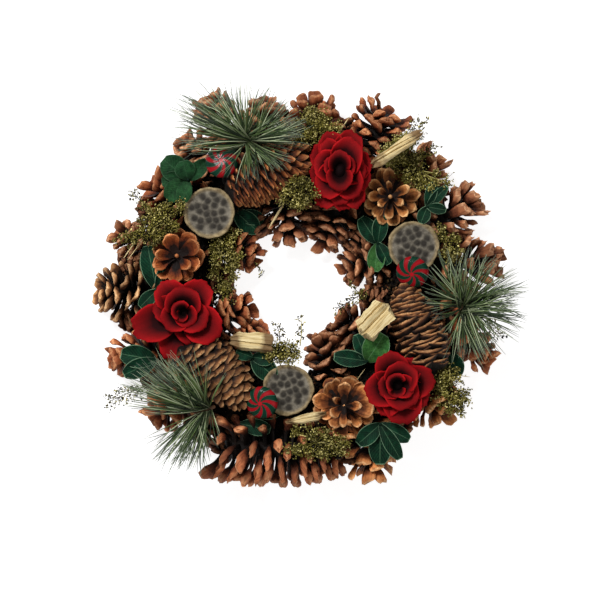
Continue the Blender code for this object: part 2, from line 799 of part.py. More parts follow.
def make_roses():
    """Roses of wood shaving: cupped petals in layers, rooted in a small bud."""
    stations = [(0, 0.18), (0.40, 0.58), (0.80, 1.0), (1.0, 0.66)]
    for name, clock, radius, width, height, layers, turn in ROSES:
        half = width / 2 * MM
        tall = height * MM
        profile = [
            (0, 0),
            (half * 0.30, tall * 0.03),
            (half * 0.30, tall * 0.30),
            (half * 0.16, tall * 0.62),
            (0, tall * 0.70),
        ]
        bud = add_object(name, *turned_shell(profile, 8), "rose")
        petals = []
        for layer, count in enumerate(layers):
            share = layer / (len(layers) - 1)
            reach = between(half * 0.98, tall * 0.78, share)
            start = between(18, 66, share)
            end = between(34, 86, share)
            inset = between(half * 0.10, half * 0.14, share)
            widest = inset + 0.8 * reach * math.cos(math.radians((start + end) / 2))
            sector = math.tan(math.pi / count)
            spread = 1.7 * widest * sector / (1 + PETAL_CUP * math.sin(math.radians(end)) * sector)
            for petal in range(count):
                heading = turn + 360 * (petal + 0.5 * (layer % 2)) / count
                shell, faces = blade_shell(reach, spread, start, end, PETAL_CUP, PETAL_THICKNESS, stations)
                level = between(0.12, 0.30, share) * tall
                place = Matrix.Translation((inset, 0, level))
                place = Matrix.Rotation(math.radians(heading), 4, "Z") @ place
                petals.append(add_object("petal", [place @ v for v in shell], faces, "rose"))
        drop(fuse(bud, petals), clock, radius)


def make_lotus_pods():
    """Lotus pods: a funnel with a flat face of pits, on a short stalk."""
    sides = 14
    for name, clock, radius, width, height in LOTUS_PODS:
        half = width / 2 * MM
        tall = height * MM
        profile = [
            (0, 0),
            (half * 0.16, 0),
            (half * 0.30, tall * 0.34),
            (half * 0.94, tall * 0.84),
            (half, tall),
            (half * 0.90, tall * 1.02),
            (half * 0.66, tall * 0.98),
            (half * 0.42, tall * 0.98),
            (half * 0.18, tall * 0.98),
            (0, tall * 0.94),
        ]

        def pits(ring, side):
            on_face = ring >= 5
            return 0.9 * MM if on_face and (ring + side) % 2 else 0.0

        pod = add_object(name, *turned_shell(profile, sides, pits), "pod")
        drop(pod, clock, radius)


def make_sweets():
    """Round sweets: flat domes with ridges that swirl out from the middle."""
    sides = 16
    half = SWEET_WIDTH / 2
    tall = SWEET_HEIGHT
    profile = [
        (0, 0),
        (half * 0.55, tall * 0.04),
        (half * 0.92, tall * 0.26),
        (half, tall * 0.52),
        (half * 0.90, tall * 0.78),
        (half * 0.50, tall * 0.96),
        (0, tall),
    ]

    def ridges(ring, side):
        return 0.3 * MM if ring >= 3 and side % 2 else 0.0

    for name, clock, radius, turn, tilt, lean in SWEETS:
        sweet = add_object(name, *turned_shell(profile, sides, ridges), "sweet")
        leaning = Matrix.Rotation(math.radians(tilt), 4, polar(lean + 90, 1.0))
        sweet.rotation_euler = (leaning @ Matrix.Rotation(math.radians(turn), 4, "Z")).to_euler()
        drop(sweet, clock, radius)


def make_chips():
    """Split wood: a bent bar with slanted, broken ends."""
    for seed, (name, clock, radius, aim, length, width, thickness, tilt) in enumerate(CHIPS):
        rng = random.Random(31 + seed)
        stations = 6
        corners = [(-1, -1), (0.1, -0.8), (1, -1), (1, 0.6), (0, 1), (-1, 0.7)]
        vertices = []
        faces = []
        for station in range(stations):
            share = station / (stations - 1)
            taper = math.sin(math.pi * between(0.22, 0.80, share)) ** 0.5
            bow = 1.6 * MM * math.sin(math.pi * share)
            for across, up in corners:
                ragged = rng.uniform(-1.6, 1.6) * MM if station in (0, stations - 1) else 0
                along = (share - 0.5) * length * MM + ragged
                y = across * width / 2 * MM * taper
                z = up * thickness / 2 * MM * taper + bow
                vertices.append(Vector((along, y, z)))
        sides = len(corners)
        for station in range(stations - 1):
            here = station * sides
            for side in range(sides):
                following = (side + 1) % sides
                faces.append((here + side, here + sides + side, here + sides + following, here + following))
        faces.append(tuple(range(sides)))
        faces.append(tuple(reversed(range((stations - 1) * sides, stations * sides))))
        chip = add_object(name, vertices, faces, "chip")
        turned = Matrix.Rotation(math.radians(aim), 4, "Z") @ Matrix.Rotation(math.radians(tilt), 4, "X")
        chip.rotation_euler = turned.to_euler()
        drop(chip, clock, radius)


def make_leaves():
    """Leaf sprigs: arched leaves with a folded rib, their stalks meeting in a short stem."""
    stations = [(0, 0.10), (0.34, 0.84), (0.74, 0.92), (1.0, 0.22)]
    for name, clock, radius, leaves in LEAF_SPRIGS:
        tube = tube_shell(Vector((0, 0, -8 * MM)), UP * LEAF_STEP * len(leaves), 1.3 * MM, 1.6 * MM, 6)
        stem = add_object(name, *tube, "leaf")
        blades = []
        for order, (aim, length, width, rise) in enumerate(leaves):
            shell, faces = blade_shell(
                length * MM, width * MM, rise + 10, rise - 26, 0.16, LEAF_THICKNESS, stations)
            root = Matrix.Translation((0.2 * MM, 0, LEAF_STEP * order))
            place = Matrix.Rotation(math.radians(aim), 4, "Z") @ root
            blades.append(add_object("leaf", [place @ v for v in shell], faces, "leaf"))
        drop(fuse(stem, blades), clock, radius)


def make_moss():
    """Moss clumps: a low core drawn out into small florets on every side."""
    for seed, (name, clock, radius, aim, length, width, height) in enumerate(MOSS):
        rng = random.Random(51 + seed)

        def core(share):
            return 0.5 * math.sin(math.pi * between(0.14, 0.86, share)), between(-0.72, 0.72, share)

        def grow(share, root, outward):
            bulge = math.sin(math.pi * between(0.14, 0.86, share))
            reach = rng.uniform(0.62, 1.0)
            return outward * bulge * reach + UP * between(-0.95, 0.95, share) * reach, 0.10

        shell, faces = lattice_shell(6, 3, core, grow, 0)
        sized = [Vector((v.z * length / 2, v.x * width / 2, v.y * height / 2)) * MM for v in shell]
        clump = add_object(name, sized, faces, "moss")
        clump.rotation_euler = (0, 0, math.radians(aim))
        drop(clump, clock, radius)


def make_tufts():
    """Needle tufts: long thin needles drawn out of a slim stem, each raised clear of the rest."""
    for seed, (name, clock, radius, height, length, fans) in enumerate(TUFTS):
        rng = random.Random(67 - 5 * seed)
        marks = [fans[0][0]]
        shares = [0.0]
        needles = sum(weight for first, weight in fans)
        following = [first for first, weight in fans[1:]] + [fans[0][0] + 360]
        for (first, weight), last in zip(fans, following):
            marks.append(last)
            shares.append(shares[-1] + weight / needles)

        def place(share):
            share = share % 1.0
            leg = max(index for index, low in enumerate(shares[:-1]) if low <= share)
            along = (share - shares[leg]) / (shares[leg + 1] - shares[leg])
            return math.radians(between(marks[leg], marks[leg + 1], along))

        def core(share):
            return TUFT_STEM_RADIUS * between(0.9, 0.7, share), TUFT_STEM_HEIGHT * share

        knot = polar(clock, radius * MM, height * MM)
        foot_depth = knot.z - resting_height(TUFT_STEM_RADIUS, clock, radius)
        nearby = [tree for low, high, tree in placed_trees]
        grown = []

        def grow(share, root, outward):
            reach = length * MM * rng.uniform(0.78, 1.0)
            rise = between(-8, 34, share) + rng.uniform(-3, 3)
            aside = turned_aside(outward, rng.uniform(-4, 4))
            while rise < STEEPEST_NEEDLE:
                slope = math.radians(rise)
                heading = aside * math.cos(slope) + UP * math.sin(slope)
                end = root + heading * reach
                whole = needle_tree(root + knot, end + knot, 4)
                outer = needle_tree(root + heading * 3 * MM + knot, end + knot, 3)
                if not crosses(whole, nearby) and not crosses(outer, grown):
                    grown.append(outer)
                    return end, NEEDLE_HALF_WIDTH
                rise += 3
            return root + (aside + UP * 0.4) * SHORT_NEEDLE, NEEDLE_HALF_WIDTH

        depth = 2 * NEEDLE_HALF_WIDTH
        shell, faces = lattice_shell(TUFT_COLUMNS, TUFT_TIERS, core, grow, depth, place, foot_depth)
        tuft = add_object(name, shell, faces, "needle")
        tuft.location = knot
        settle(tuft)


def resting_height(half_width, clock, radius):
    """How high the foot of a slim upright rod comes to rest at a place."""
    tube = tube_shell(Vector((0, 0, 0)), UP * TUFT_FOOT_LENGTH, 0.12 * half_width, half_width, 8)
    rod = add_object("rod", *tube, "vine")
    drop(rod, clock, radius)
    placed_trees.pop()
    height = rod.location.z
    bpy.data.objects.remove(rod)
    return height


def needle_tree(start, end, swell):
    """A slim rod between two points, swollen at its root, to test what a needle would cross."""
    shell, faces = tube_shell(start, end, swell * NEEDLE_HALF_WIDTH, 2 * NEEDLE_HALF_WIDTH, 3)
    return BVHTree.FromPolygons(shell, faces)


def crosses(tree, others):
    """Whether the tree's faces cut those of any other."""
    return any(tree.overlap(other) for other in others)


def centre_wreath():
    """Hangs every piece on one empty that puts the wreath's middle over the origin."""
    pieces = [thing for thing in bpy.data.objects if thing.type == "MESH"]
    boxes = [world_box(piece) for piece in pieces]
    low = Vector([min(box[0][axis] for box in boxes) for axis in range(3)])
    high = Vector([max(box[1][axis] for box in boxes) for axis in range(3)])
    hub = bpy.data.objects.new("wreath", None)
    bpy.context.scene.collection.objects.link(hub)
    for piece in pieces:
        piece.parent = hub
    hub.location = Vector((-(low.x + high.x) / 2, -(low.y + high.y) / 2, -low.z))


def shade(angle=35):
    """Rounds the shading, with creases kept sharp."""
    for thing in bpy.data.objects:
        if thing.type == "MESH":
            thing.data.shade_smooth()
            thing.data.set_sharp_from_angle(angle=math.radians(angle))


def main():
    """Builds the wreath from the ring up."""
    clear_scene()
    placed_trees.clear()
    make_ring()
    make_ring_cones()
    make_large_cone()
    make_closed_cones()
    make_leaves()
    make_rosettes()
    make_lotus_pods()
    make_roses()
    make_chips()
    make_moss()
    make_sweets()
    make_tufts()
    centre_wreath()
    shade()


main()
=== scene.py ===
# %% [markdown]
# # A pinecone wreath, dressed around its solids
# The wreath lies on its back. A vine ring carries pine cones, roses of wood shaving, lotus pods, sweets,
# leaves, moss and tufts of needles. The solids already say where every piece is and how large it is, so
# each cell below measures a solid, works out a finer surface for it with numpy, and puts it in its place.

# %% Load the solids
import math
from collections import namedtuple

import bpy
import numpy as np
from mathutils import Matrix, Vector
from mathutils.bvhtree import BVHTree


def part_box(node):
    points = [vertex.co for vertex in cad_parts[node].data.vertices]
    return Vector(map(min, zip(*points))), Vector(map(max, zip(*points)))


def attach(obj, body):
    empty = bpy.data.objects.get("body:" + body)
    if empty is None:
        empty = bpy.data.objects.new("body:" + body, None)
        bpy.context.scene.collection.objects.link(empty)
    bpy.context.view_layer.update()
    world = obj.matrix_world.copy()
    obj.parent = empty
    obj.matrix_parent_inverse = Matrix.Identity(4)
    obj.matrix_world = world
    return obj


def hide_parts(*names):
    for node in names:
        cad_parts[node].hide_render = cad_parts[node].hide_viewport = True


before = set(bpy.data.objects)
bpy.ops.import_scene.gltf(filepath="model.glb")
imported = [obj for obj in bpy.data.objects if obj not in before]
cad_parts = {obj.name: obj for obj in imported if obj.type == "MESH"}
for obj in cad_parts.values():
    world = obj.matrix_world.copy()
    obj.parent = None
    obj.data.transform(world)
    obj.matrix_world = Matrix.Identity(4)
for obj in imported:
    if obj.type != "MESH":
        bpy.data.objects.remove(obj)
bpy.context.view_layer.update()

# %% [markdown]
# ## One measure for the photograph and the wreath
# The ring's middle is at one pixel of the photograph, and a pixel is a fixed number of millimetres there.
# With these two facts any pixel becomes a place on the wreath. Clock angles start at the right and turn
# anticlockwise, as the X and Y axes do.

# %% Measures and places
MM = 0.001
PIXEL = 0.82 * MM
RING_PIXEL = (297, 291)
PHOTO_PIXELS = 600
GOLDEN_ANGLE = math.radians(137.508)
UP = np.array([0, 0, 1.0])
ring_low, ring_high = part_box("ring_base")
RING_CENTRE = np.array((ring_low + ring_high) / 2)


def photo_place(pixel, height):
    """The point above a pixel of the photograph, at a height in metres."""
    x = RING_CENTRE[0] + (pixel[0] - RING_PIXEL[0]) * PIXEL
    y = RING_CENTRE[1] - (pixel[1] - RING_PIXEL[1]) * PIXEL
    return np.array([x, y, height])


def heading(aim, lift=0.0):
    """The unit direction of a clock angle, raised by the lift, both in degrees."""
    a, e = math.radians(aim), math.radians(lift)
    return np.array([math.cos(a) * math.cos(e), math.sin(a) * math.cos(e), math.sin(e)])


def node_points(node):
    """All corners of a solid as one array of points."""
    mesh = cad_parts[node].data
    points = np.empty(3 * len(mesh.vertices), np.float32)
    mesh.vertices.foreach_get("co", points)
    return points.reshape(-1, 3).astype(float)


def unit(vectors):
    """The vectors, each scaled to length 1."""
    return vectors / (np.linalg.norm(vectors, axis=-1, keepdims=True) + 1e-12)


def full_turn(count):
    """Angles spread evenly over one turn, in radians."""
    return 2 * np.pi * np.arange(count) / count


def rays(angle):
    """Level unit directions at the angles, and those a quarter turn to their left."""
    outward = np.stack([np.cos(angle), np.sin(angle), 0 * angle], -1)
    return outward, np.cross(UP, outward)


def spot(outward, radius, height):
    """Points at a radius along the outward directions, and at a height."""
    return outward * np.reshape(radius, (-1, 1)) + UP * np.reshape(height, (-1, 1))


def frame_along(axis):
    """Three rows, sideways, upwards and along, for a piece that was made along +Z."""
    along = unit(np.asarray(axis, float))
    aside = unit(np.cross(UP if abs(along[2]) < 0.9 else [0, 1.0, 0], along))
    return np.stack([aside, np.cross(along, aside), along])


def extent_along(points, axis):
    """Middle and size of the points, measured sideways, upwards and along the axis."""
    rows = frame_along(axis)
    local = points @ rows.T
    low, high = local.min(axis=0), local.max(axis=0)
    return (low + high) / 2 @ rows, high - low


print("ring centre in mm:", np.round(RING_CENTRE * 1000, 1))

# %% [markdown]
# ## Shapes as arrays
# A wreath is made of things that repeat: scales, petals, needles, beads of moss. Each is one small grid
# of points, and numpy works out all its copies in one go, so there is no loop over vertices. A shape here
# is its points, its faces and a few values at each point, which the materials read later.

# %% Shapes and how they become objects
Shape = namedtuple("Shape", "points quads triangles values")
NO_QUADS = np.zeros((0, 4), int)
NO_TRIANGLES = np.zeros((0, 3), int)
AIM_FIRST = (2, 0, 1)
made_triangles = []


def copies(quads, triangles, count, size):
    """The faces of one copy, repeated for every copy, each with its own run of points."""
    shift = (np.arange(count) * size)[:, None, None]
    return (quads[None] + shift).reshape(-1, 4), (triangles[None] + shift).reshape(-1, 3)


def join(shapes):
    """Several shapes as one. A value that a shape lacks is 0 there."""
    names = sorted({name for shape in shapes for name in shape.values})
    starts = np.cumsum([0] + [len(shape.points) for shape in shapes])
    values = {name: np.concatenate([shape.values.get(name, np.zeros(len(shape.points))) for shape in shapes])
              for name in names}
    return Shape(
        np.concatenate([shape.points for shape in shapes]),
        np.concatenate([shape.quads + start for shape, start in zip(shapes, starts)]),
        np.concatenate([shape.triangles + start for shape, start in zip(shapes, starts)]),
        values,
    )


def moved(shape, centre, rows=np.eye(3)):
    """The shape turned by three rows and moved to the centre."""
    return shape._replace(points=shape.points @ rows + centre)


def marked(shape, **values):
    """The shape with some of its values set, each to one number or to one number a point."""
    new = {name: value + np.zeros(len(shape.points)) for name, value in values.items()}
    return shape._replace(values={**shape.values, **new})


def new_object(name, data):
    """An object for a mesh, a camera or a lamp, linked into the scene."""
    thing = bpy.data.objects.new(name, data)
    bpy.context.scene.collection.objects.link(thing)
    return thing


def shape_object(name, shape, finish, nodes=(), crease=None):
    """Puts a shape into a mesh object, with its finish, and tells the frame what it stands for."""
    mesh = bpy.data.meshes.new(name)
    corners = np.concatenate([shape.quads.ravel(), shape.triangles.ravel()])
    quad_count, triangle_count = len(shape.quads), len(shape.triangles)
    starts = np.concatenate([4 * np.arange(quad_count), 4 * quad_count + 3 * np.arange(triangle_count)])
    mesh.vertices.add(len(shape.points))
    mesh.vertices.foreach_set("co", shape.points.astype(np.float32).ravel())
    mesh.loops.add(len(corners))
    mesh.loops.foreach_set("vertex_index", corners.astype(np.int32))
    mesh.polygons.add(len(starts))
    mesh.polygons.foreach_set("loop_start", starts.astype(np.int32))
    mesh.update(calc_edges=True)
    mesh.validate()
    for value_name, value in shape.values.items():
        attribute = mesh.attributes.new(value_name, "FLOAT", "POINT")
        attribute.data.foreach_set("value", value.astype(np.float32))
    mesh.shade_smooth()
    if crease:
        mesh.set_sharp_from_angle(angle=math.radians(crease))
    mesh.materials.append(finish)
    thing = new_object(name, mesh)
    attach(thing, "root")
    if nodes:
        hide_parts(*nodes)
    made_triangles.append(2 * quad_count + triangle_count)


def dress(place, ending, make, finish, seed, crease=None, rows=(0, 1, 2)):
    """One object for the solid of a place. The solid is measured along the place's aim and lift, and
    make(place, size, rng) gives a shape of that size along +Z, or with its axes in another order."""
    axis = heading(place.aim, place.lift)
    centre, size = extent_along(node_points(place.node), axis)
    shape = moved(make(place, size, np.random.default_rng(seed)), centre, frame_along(axis)[list(rows)])
    shape_object(place.node + ending, shape, finish, [place.node], crease)

# %% [markdown]
# ## Blades: a flat oval carried along a line
# Scales, needles, stems and vines are all blades: a middle line, and round it an oval that changes its
# width and its thickness on the way. One function makes any number of them.

# %% Blades


def blade_faces(stations, sides):
    """The quads between neighbouring ovals of one blade, and the triangles that close its two ends."""
    ring = np.arange(sides)
    following = (ring + 1) % sides
    starts = sides * np.arange(stations - 1)[:, None]
    quads = np.stack([starts + ring, starts + following,
                      starts + sides + following, starts + sides + ring], -1)
    root = np.full(sides, stations * sides)
    last = sides * (stations - 1)
    root_fan = np.stack([following, ring, root], -1)
    tip_fan = np.stack([last + ring, last + following, root + 1], -1)
    return quads.reshape(-1, 4), np.concatenate([root_fan, tip_fan])


def blades(path, aside, half_width, half_depth, sides, camber=0.0, keel=0.0, flatness=1.0, chance=None,
           nose=0.6, crown=1.0, ragged=0.0):
    """Closed blades, many at once.

    path holds each blade's middle line (blade, station, xyz) and aside its sideways direction. With lift
    as forward x aside, the point at the angle a of a section is
    path + aside * half_width * cos(a) + lift * (half_depth * sin(a) + camber * cos(a) squared).
    A keel deepens the lower side towards its middle, and a flatness below 1 squares the oval. The end
    point lies a nose times the last depth beyond the last section, whose corners stand out unevenly by up
    to the ragged amount, and crown is the value of along there.
    """
    count, stations = path.shape[:2]
    forward = unit(np.gradient(path, axis=1))
    aside = np.broadcast_to(np.asarray(aside)[:, None], path.shape)
    lift = unit(np.cross(forward, aside))
    angle = full_turn(sides)
    across, through = (np.sign(wave) * np.abs(wave) ** flatness for wave in (np.cos(angle), np.sin(angle)))
    width, depth, raised = (np.broadcast_to(size, (count, stations))[..., None, None]
                            for size in (half_width, half_depth, camber))
    deeper = 1 + keel * (1 - np.abs(across)) * (through < 0)
    up = depth * (through * deeper)[:, None] + raised * (across ** 2)[:, None]
    rings = path[:, :, None] + aside[:, :, None] * width * across[:, None] + lift[:, :, None] * up
    chance = np.zeros(count) if chance is None else chance
    jag = ragged * np.sin(37 * chance[:, None] + 2.4 * np.arange(sides) ** 1.5)[..., None]
    rings[:, -1] += forward[:, -1, None] * jag
    rings[:, -2] += forward[:, -2, None] * jag * 0.4
    ends = np.stack([path[:, 0] - forward[:, 0] * depth[:, 0, 0] * 0.5,
                     path[:, -1] + forward[:, -1] * depth[:, -1, 0] * nose
                     + lift[:, -1] * raised[:, -1, 0]], 1)
    points = np.concatenate([rings.reshape(count, -1, 3), ends], axis=1)
    quads, triangles = copies(*blade_faces(stations, sides), count, stations * sides + 2)
    values = {
        "along": np.tile(np.append(np.repeat(np.linspace(0, 1, stations), sides), [0, crown]), count),
        "across": np.tile(np.append(np.tile(across, stations), [0, 0]), count),
        "chance": np.repeat(chance, stations * sides + 2),
    }
    return Shape(points.reshape(-1, 3), quads, triangles, values)


def rod(line, radius, sides, nose=0.6, aside=(1.0, 0, 0)):
    """A round blade along one line of points."""
    return blades(line[None], np.array([aside]), radius, radius, sides, nose=nose)


print("one blade of 7 stations and 8 sides has", 2 * 7 * 8, "triangles")

# %% [markdown]
# ## Sheets: a curved patch with a thickness
# Petals and leaves are thin patches. A patch is a grid of points, one parameter from root to rim and one
# across. Its normals come from the grid's own slopes, and the patch is doubled along them and closed.

# %% Sheets


def sheets(grid, thickness, chance):
    """Closed sheets from patches (sheet, along, across, xyz), each side half the thickness off the patch."""
    count, rows, columns = grid.shape[:3]
    normal = unit(np.cross(np.gradient(grid, axis=1), np.gradient(grid, axis=2)))
    both = np.stack([grid + normal * thickness / 2, grid - normal * thickness / 2], axis=1)
    index = np.arange(rows * columns).reshape(rows, columns)
    under = rows * columns
    a, b, c, d = index[:-1, :-1], index[1:, :-1], index[1:, 1:], index[:-1, 1:]
    top = np.stack([a, b, c, d], -1).reshape(-1, 4)
    bottom = np.stack([d, c, b, a], -1).reshape(-1, 4) + under
    border = np.concatenate([index[0, :-1], index[:-1, -1], index[-1, :0:-1], index[:0:-1, 0]])
    ahead = np.roll(border, -1)
    edge = np.stack([border, ahead, ahead + under, border + under], -1)
    quads, triangles = copies(np.concatenate([top, bottom, edge]), NO_TRIANGLES, count, 2 * under)
    values = {
        "along": np.tile(np.repeat(np.linspace(0, 1, rows), columns), 2 * count),
        "across": np.tile(np.linspace(-1, 1, columns), 2 * rows * count),
        "chance": np.repeat(chance, 2 * under),
    }
    return Shape(both.reshape(-1, 3), quads, triangles, values)


# %% [markdown]
# ## Turned shapes
# A pod and a sweet are round, so they are turned: a profile of radius and height, carried round an axis.
# The rings meet in one point at the foot and one at the crown.

# %% Turned shapes


def turned(radius, height, sides):
    """A closed turned shape. radius and height are arrays (ring, side) in metres; the first and last
    rings shrink to one point each."""
    rings = radius.shape[0]
    angle = full_turn(sides)
    points = np.stack([radius * np.cos(angle), radius * np.sin(angle), height], -1).reshape(-1, 3)
    ends = np.array([[0, 0, height[0].mean()], [0, 0, height[-1].mean()]])
    quads, triangles = blade_faces(rings, sides)
    share = np.append(np.repeat(np.linspace(0, 1, rings), sides), [0, 1])
    return Shape(np.concatenate([points, ends]), quads, triangles, {"along": share})


# %% [markdown]
# ## Finishes
# Each finish is a small tree of nodes. It reads the values that the shapes carry: along runs from root
# to tip, across from edge to edge, and chance differs from one scale or leaf to the next. Noise on
# Object coordinates adds grain and blotches. Colours are written as they look on a screen, and turned
# into the linear values that Blender mixes.

# %% Tools for finishes


def screen(red, green, blue):
    """A colour given as 0 to 255 on a screen, as linear RGBA."""
    levels = [value / 255 for value in (red, green, blue)]
    return tuple(v / 12.92 if v <= 0.04045 else ((v + 0.055) / 1.055) ** 2.4 for v in levels) + (1.0,)


class Finish:
    """A material under construction: each method adds a node and returns the socket to read."""

    def __init__(self, name, roughness, specular=0.3):
        self.material = bpy.data.materials.new(name)
        self.material.use_nodes = True
        self.tree = self.material.node_tree
        self.shader = self.tree.nodes["Principled BSDF"]
        self.shader.inputs["Roughness"].default_value = roughness
        self.shader.inputs["Specular IOR Level"].default_value = specular

    def fill(self, node, **inputs):
        """Sets a node's inputs, by number or by name, each to a value or to a socket."""
        for key, value in inputs.items():
            socket = node.inputs[int(key[1:])] if key[0] == "_" else node.inputs[key]
            if isinstance(value, bpy.types.NodeSocket):
                self.tree.links.new(value, socket)
            else:
                socket.default_value = value

    def node(self, kind, **inputs):
        """A node of a kind with its inputs set."""
        made = self.tree.nodes.new("ShaderNode" + kind)
        self.fill(made, **inputs)
        return made

    def value(self, name):
        """One of the shape's own values."""
        made = self.node("Attribute")
        made.attribute_name = name
        return made.outputs["Fac"]

    def sum(self, operation, first, second=0.0, third=0.0):
        """A sum of one, two or three values, such as first times second plus third."""
        made = self.node("Math", _0=first, _1=second, _2=third)
        made.operation = operation
        return made.outputs[0]

    def line(self, value, slope, start):
        """The value times the slope, plus the start."""
        return self.sum("MULTIPLY_ADD", value, slope, start)

    def ramp(self, factor, stops):
        """A colour that runs through the stops, (place, colour or grey level), as the factor grows."""
        made = self.node("ValToRGB", Fac=factor)
        elements = made.color_ramp.elements
        while len(elements) < len(stops):
            elements.new(0.5)
        for element, (place, colour) in zip(elements, stops):
            element.position = place
            element.color = colour if isinstance(colour, tuple) else (colour, colour, colour, 1)
        return made.outputs["Color"]

    def mix(self, factor, first, second, mode="MIX"):
        """Two colours, mixed."""
        made = self.node("Mix")
        made.data_type = "RGBA"
        made.blend_type = mode
        self.fill(made, _0=factor, _6=first, _7=second)
        return made.outputs[2]

    def shade(self, colour, factor, stops, amount=1.0):
        """A colour multiplied by a ramp of the factor."""
        return self.mix(amount, colour, self.ramp(factor, stops), "MULTIPLY")

    def noise(self, scale, detail=4.0, stretch=(1, 1, 1)):
        """Noise in the object's own space, its scale in waves per metre, stretched along an axis."""
        place = self.node("TexCoord").outputs["Object"]
        mapping = self.node("Mapping", Vector=place, Scale=stretch)
        return self.node("TexNoise", Vector=mapping.outputs[0], Scale=scale, Detail=detail).outputs["Fac"]

    def noise_at(self, x, y, z, detail):
        """Noise at a place that is worked out from values."""
        place = self.node("CombineXYZ", _0=x, _1=y, _2=z).outputs[0]
        return self.node("TexNoise", Vector=place, Scale=1.0, Detail=detail).outputs["Fac"]

    def colour(self, socket):
        """The base colour."""
        self.tree.links.new(socket, self.shader.inputs["Base Color"])

    def relief(self, height, strength, depth):
        """Fine relief: a bump of the given depth in metres."""
        made = self.node("Bump", Strength=strength, Distance=depth, Height=height)
        self.tree.links.new(made.outputs[0], self.shader.inputs["Normal"])


# %% [markdown]
# ## The finish of cone scales
# A ripe scale is nearly black where it leaves the spindle, brown on its stalk, and tan on the swollen
# end, with a paler rim. The near-black root is partly the wood's own colour and partly painted shade of the
# deep gaps between the scales; the pale rim is partly the wood's own paler end and partly a painted highlight
# on the lit lip. Fine streaks run over it, and no two scales have the same tone. One function makes this
# finish, and each kind of cone gets its colours.

# %% Cone finishes


def cone_finish(name, dark, brown, tan, pale, start, hollow=0.0):
    """Scale wood: dark up to the start, then brown, a tan end and a pale rim. The dark is partly the wood's
    own colour and partly painted shade, and the pale rim is partly its own and partly a painted highlight.
    Streaks run along it, and a hollow makes the middle of each scale darker than its edges, as painted shade."""
    wood = Finish(name, roughness=0.72, specular=0.22)
    along, across, chance = wood.value("along"), wood.value("across"), wood.value("chance")
    off_middle = wood.sum("ABSOLUTE", across)
    blotch = wood.noise(330, 5.0)
    streak = wood.noise_at(wood.line(across, 4.5, wood.sum("MULTIPLY", chance, 40.0)),
                           wood.sum("MULTIPLY", along, 1.6), wood.sum("MULTIPLY", chance, 70.0), 4.0)
    place = wood.sum("ADD", along, wood.line(blotch, 0.44, -0.22))
    # Painted shade: the hollow darkens the middle of each scale against its edges.
    if hollow:
        place = wood.sum("ADD", place, wood.line(wood.sum("POWER", off_middle, 2.0), hollow, -0.7 * hollow))
    # Dark up to the start: partly the wood's own darker root and partly painted shade of the deep gaps.
    base = wood.ramp(place, [(0.0, dark), (start - 0.22, dark), (start, brown), (start + 0.20, tan),
                             (1.0, tan)])
    # Pale rim at the end and the edges: partly the wood's own paler end and partly a painted highlight.
    lip = wood.sum("MAXIMUM", wood.sum("POWER", off_middle, 3.0), wood.line(along, 7.0, -6.0))
    rim = wood.sum("MULTIPLY", lip, wood.line(along, 2.2, -1.25))
    rimmed = wood.mix(wood.sum("MINIMUM", wood.sum("MAXIMUM", rim, 0.0), 0.8), base, pale)
    toned = wood.shade(rimmed, chance, [(0.0, (0.58, 0.52, 0.48, 1)), (0.5, (0.95, 0.9, 0.86, 1)),
                                        (1.0, (1.3, 1.24, 1.16, 1))])
    streaky = wood.shade(toned, streak, [(0.34, (0.52, 0.46, 0.42, 1)), (0.50, (0.95, 0.93, 0.9, 1)),
                                         (0.68, (1.22, 1.2, 1.15, 1))], 0.85)
    wood.colour(streaky)
    wood.relief(wood.sum("ADD", blotch, streak), 0.8, 0.7 * MM)
    return wood.material


# Each kind: dark, brown, tan and pale as on a screen, where brown starts, and the hollow, the painted
# shade in the middle of each scale.
CONE_TONES = {
    "brown": ((18, 8, 4), (84, 44, 26), (142, 88, 58), (206, 158, 122), 0.46, 0),
    "red_brown": ((18, 8, 4), (96, 44, 24), (154, 86, 52), (212, 156, 112), 0.46, 0),
    "pale": ((20, 10, 5), (110, 70, 42), (186, 138, 92), (234, 200, 156), 0.58, 0.10),
    # The filling cones lie deep between the others: their darker tones are painted shade.
    "filling": ((14, 7, 4), (60, 33, 20), (104, 62, 40), (150, 106, 76), 0.62, 0),
    "fan": ((18, 8, 4), (98, 52, 32), (154, 98, 66), (208, 164, 128), 0.46, 0),
    "large": ((18, 8, 4), (108, 56, 34), (160, 96, 62), (214, 158, 116), 0.50, 0),
    "orange": ((22, 7, 3), (112, 52, 24), (164, 88, 44), (226, 160, 108), 0.40, 0.22),
    "golden": ((22, 9, 4), (112, 66, 32), (166, 108, 60), (240, 196, 140), 0.38, 0.24),
    "light": ((22, 9, 4), (122, 68, 36), (198, 128, 74), (246, 200, 148), 0.38, 0.20),
    "shingle": ((16, 7, 4), (108, 56, 28), (162, 100, 56), (222, 176, 122), 0.58, 0),
    "shingle_dark": ((14, 6, 3), (64, 35, 19), (134, 84, 46), (196, 152, 108), 0.66, 0),
    "shingle_tan": ((16, 7, 4), (92, 58, 32), (148, 102, 62), (232, 190, 142), 0.62, 0),
}
CONE_FINISHES = {
    name: cone_finish("cone_" + name, *(screen(*tone) for tone in tones), start, hollow)
    for name, (*tones, start, hollow) in CONE_TONES.items()
}
print("cone finishes:", ", ".join(CONE_FINISHES))

# %% [markdown]
# ## Camera, floor and light
# The photograph looks straight down on the wreath from far away, so the camera has a long lens: near and
# far pieces keep their size. The floor is plain and nearly white. One large lamp from the upper left gives
# the soft shadows, and the white surroundings fill them.

# %% Camera, floor and light
CAMERA_DISTANCE = 3.2
SENSOR_WIDTH = 36.0
PICTURE_HEIGHT = 45 * MM
camera_data = bpy.data.cameras.new("camera")
camera_data.sensor_width = SENSOR_WIDTH
camera_data.lens = SENSOR_WIDTH * (CAMERA_DISTANCE - PICTURE_HEIGHT) / (PHOTO_PIXELS * PIXEL)
camera_data.clip_end = 20
camera = new_object("camera", camera_data)
camera.location = Vector(photo_place((PHOTO_PIXELS / 2, PHOTO_PIXELS / 2), CAMERA_DISTANCE))
bpy.context.scene.camera = camera

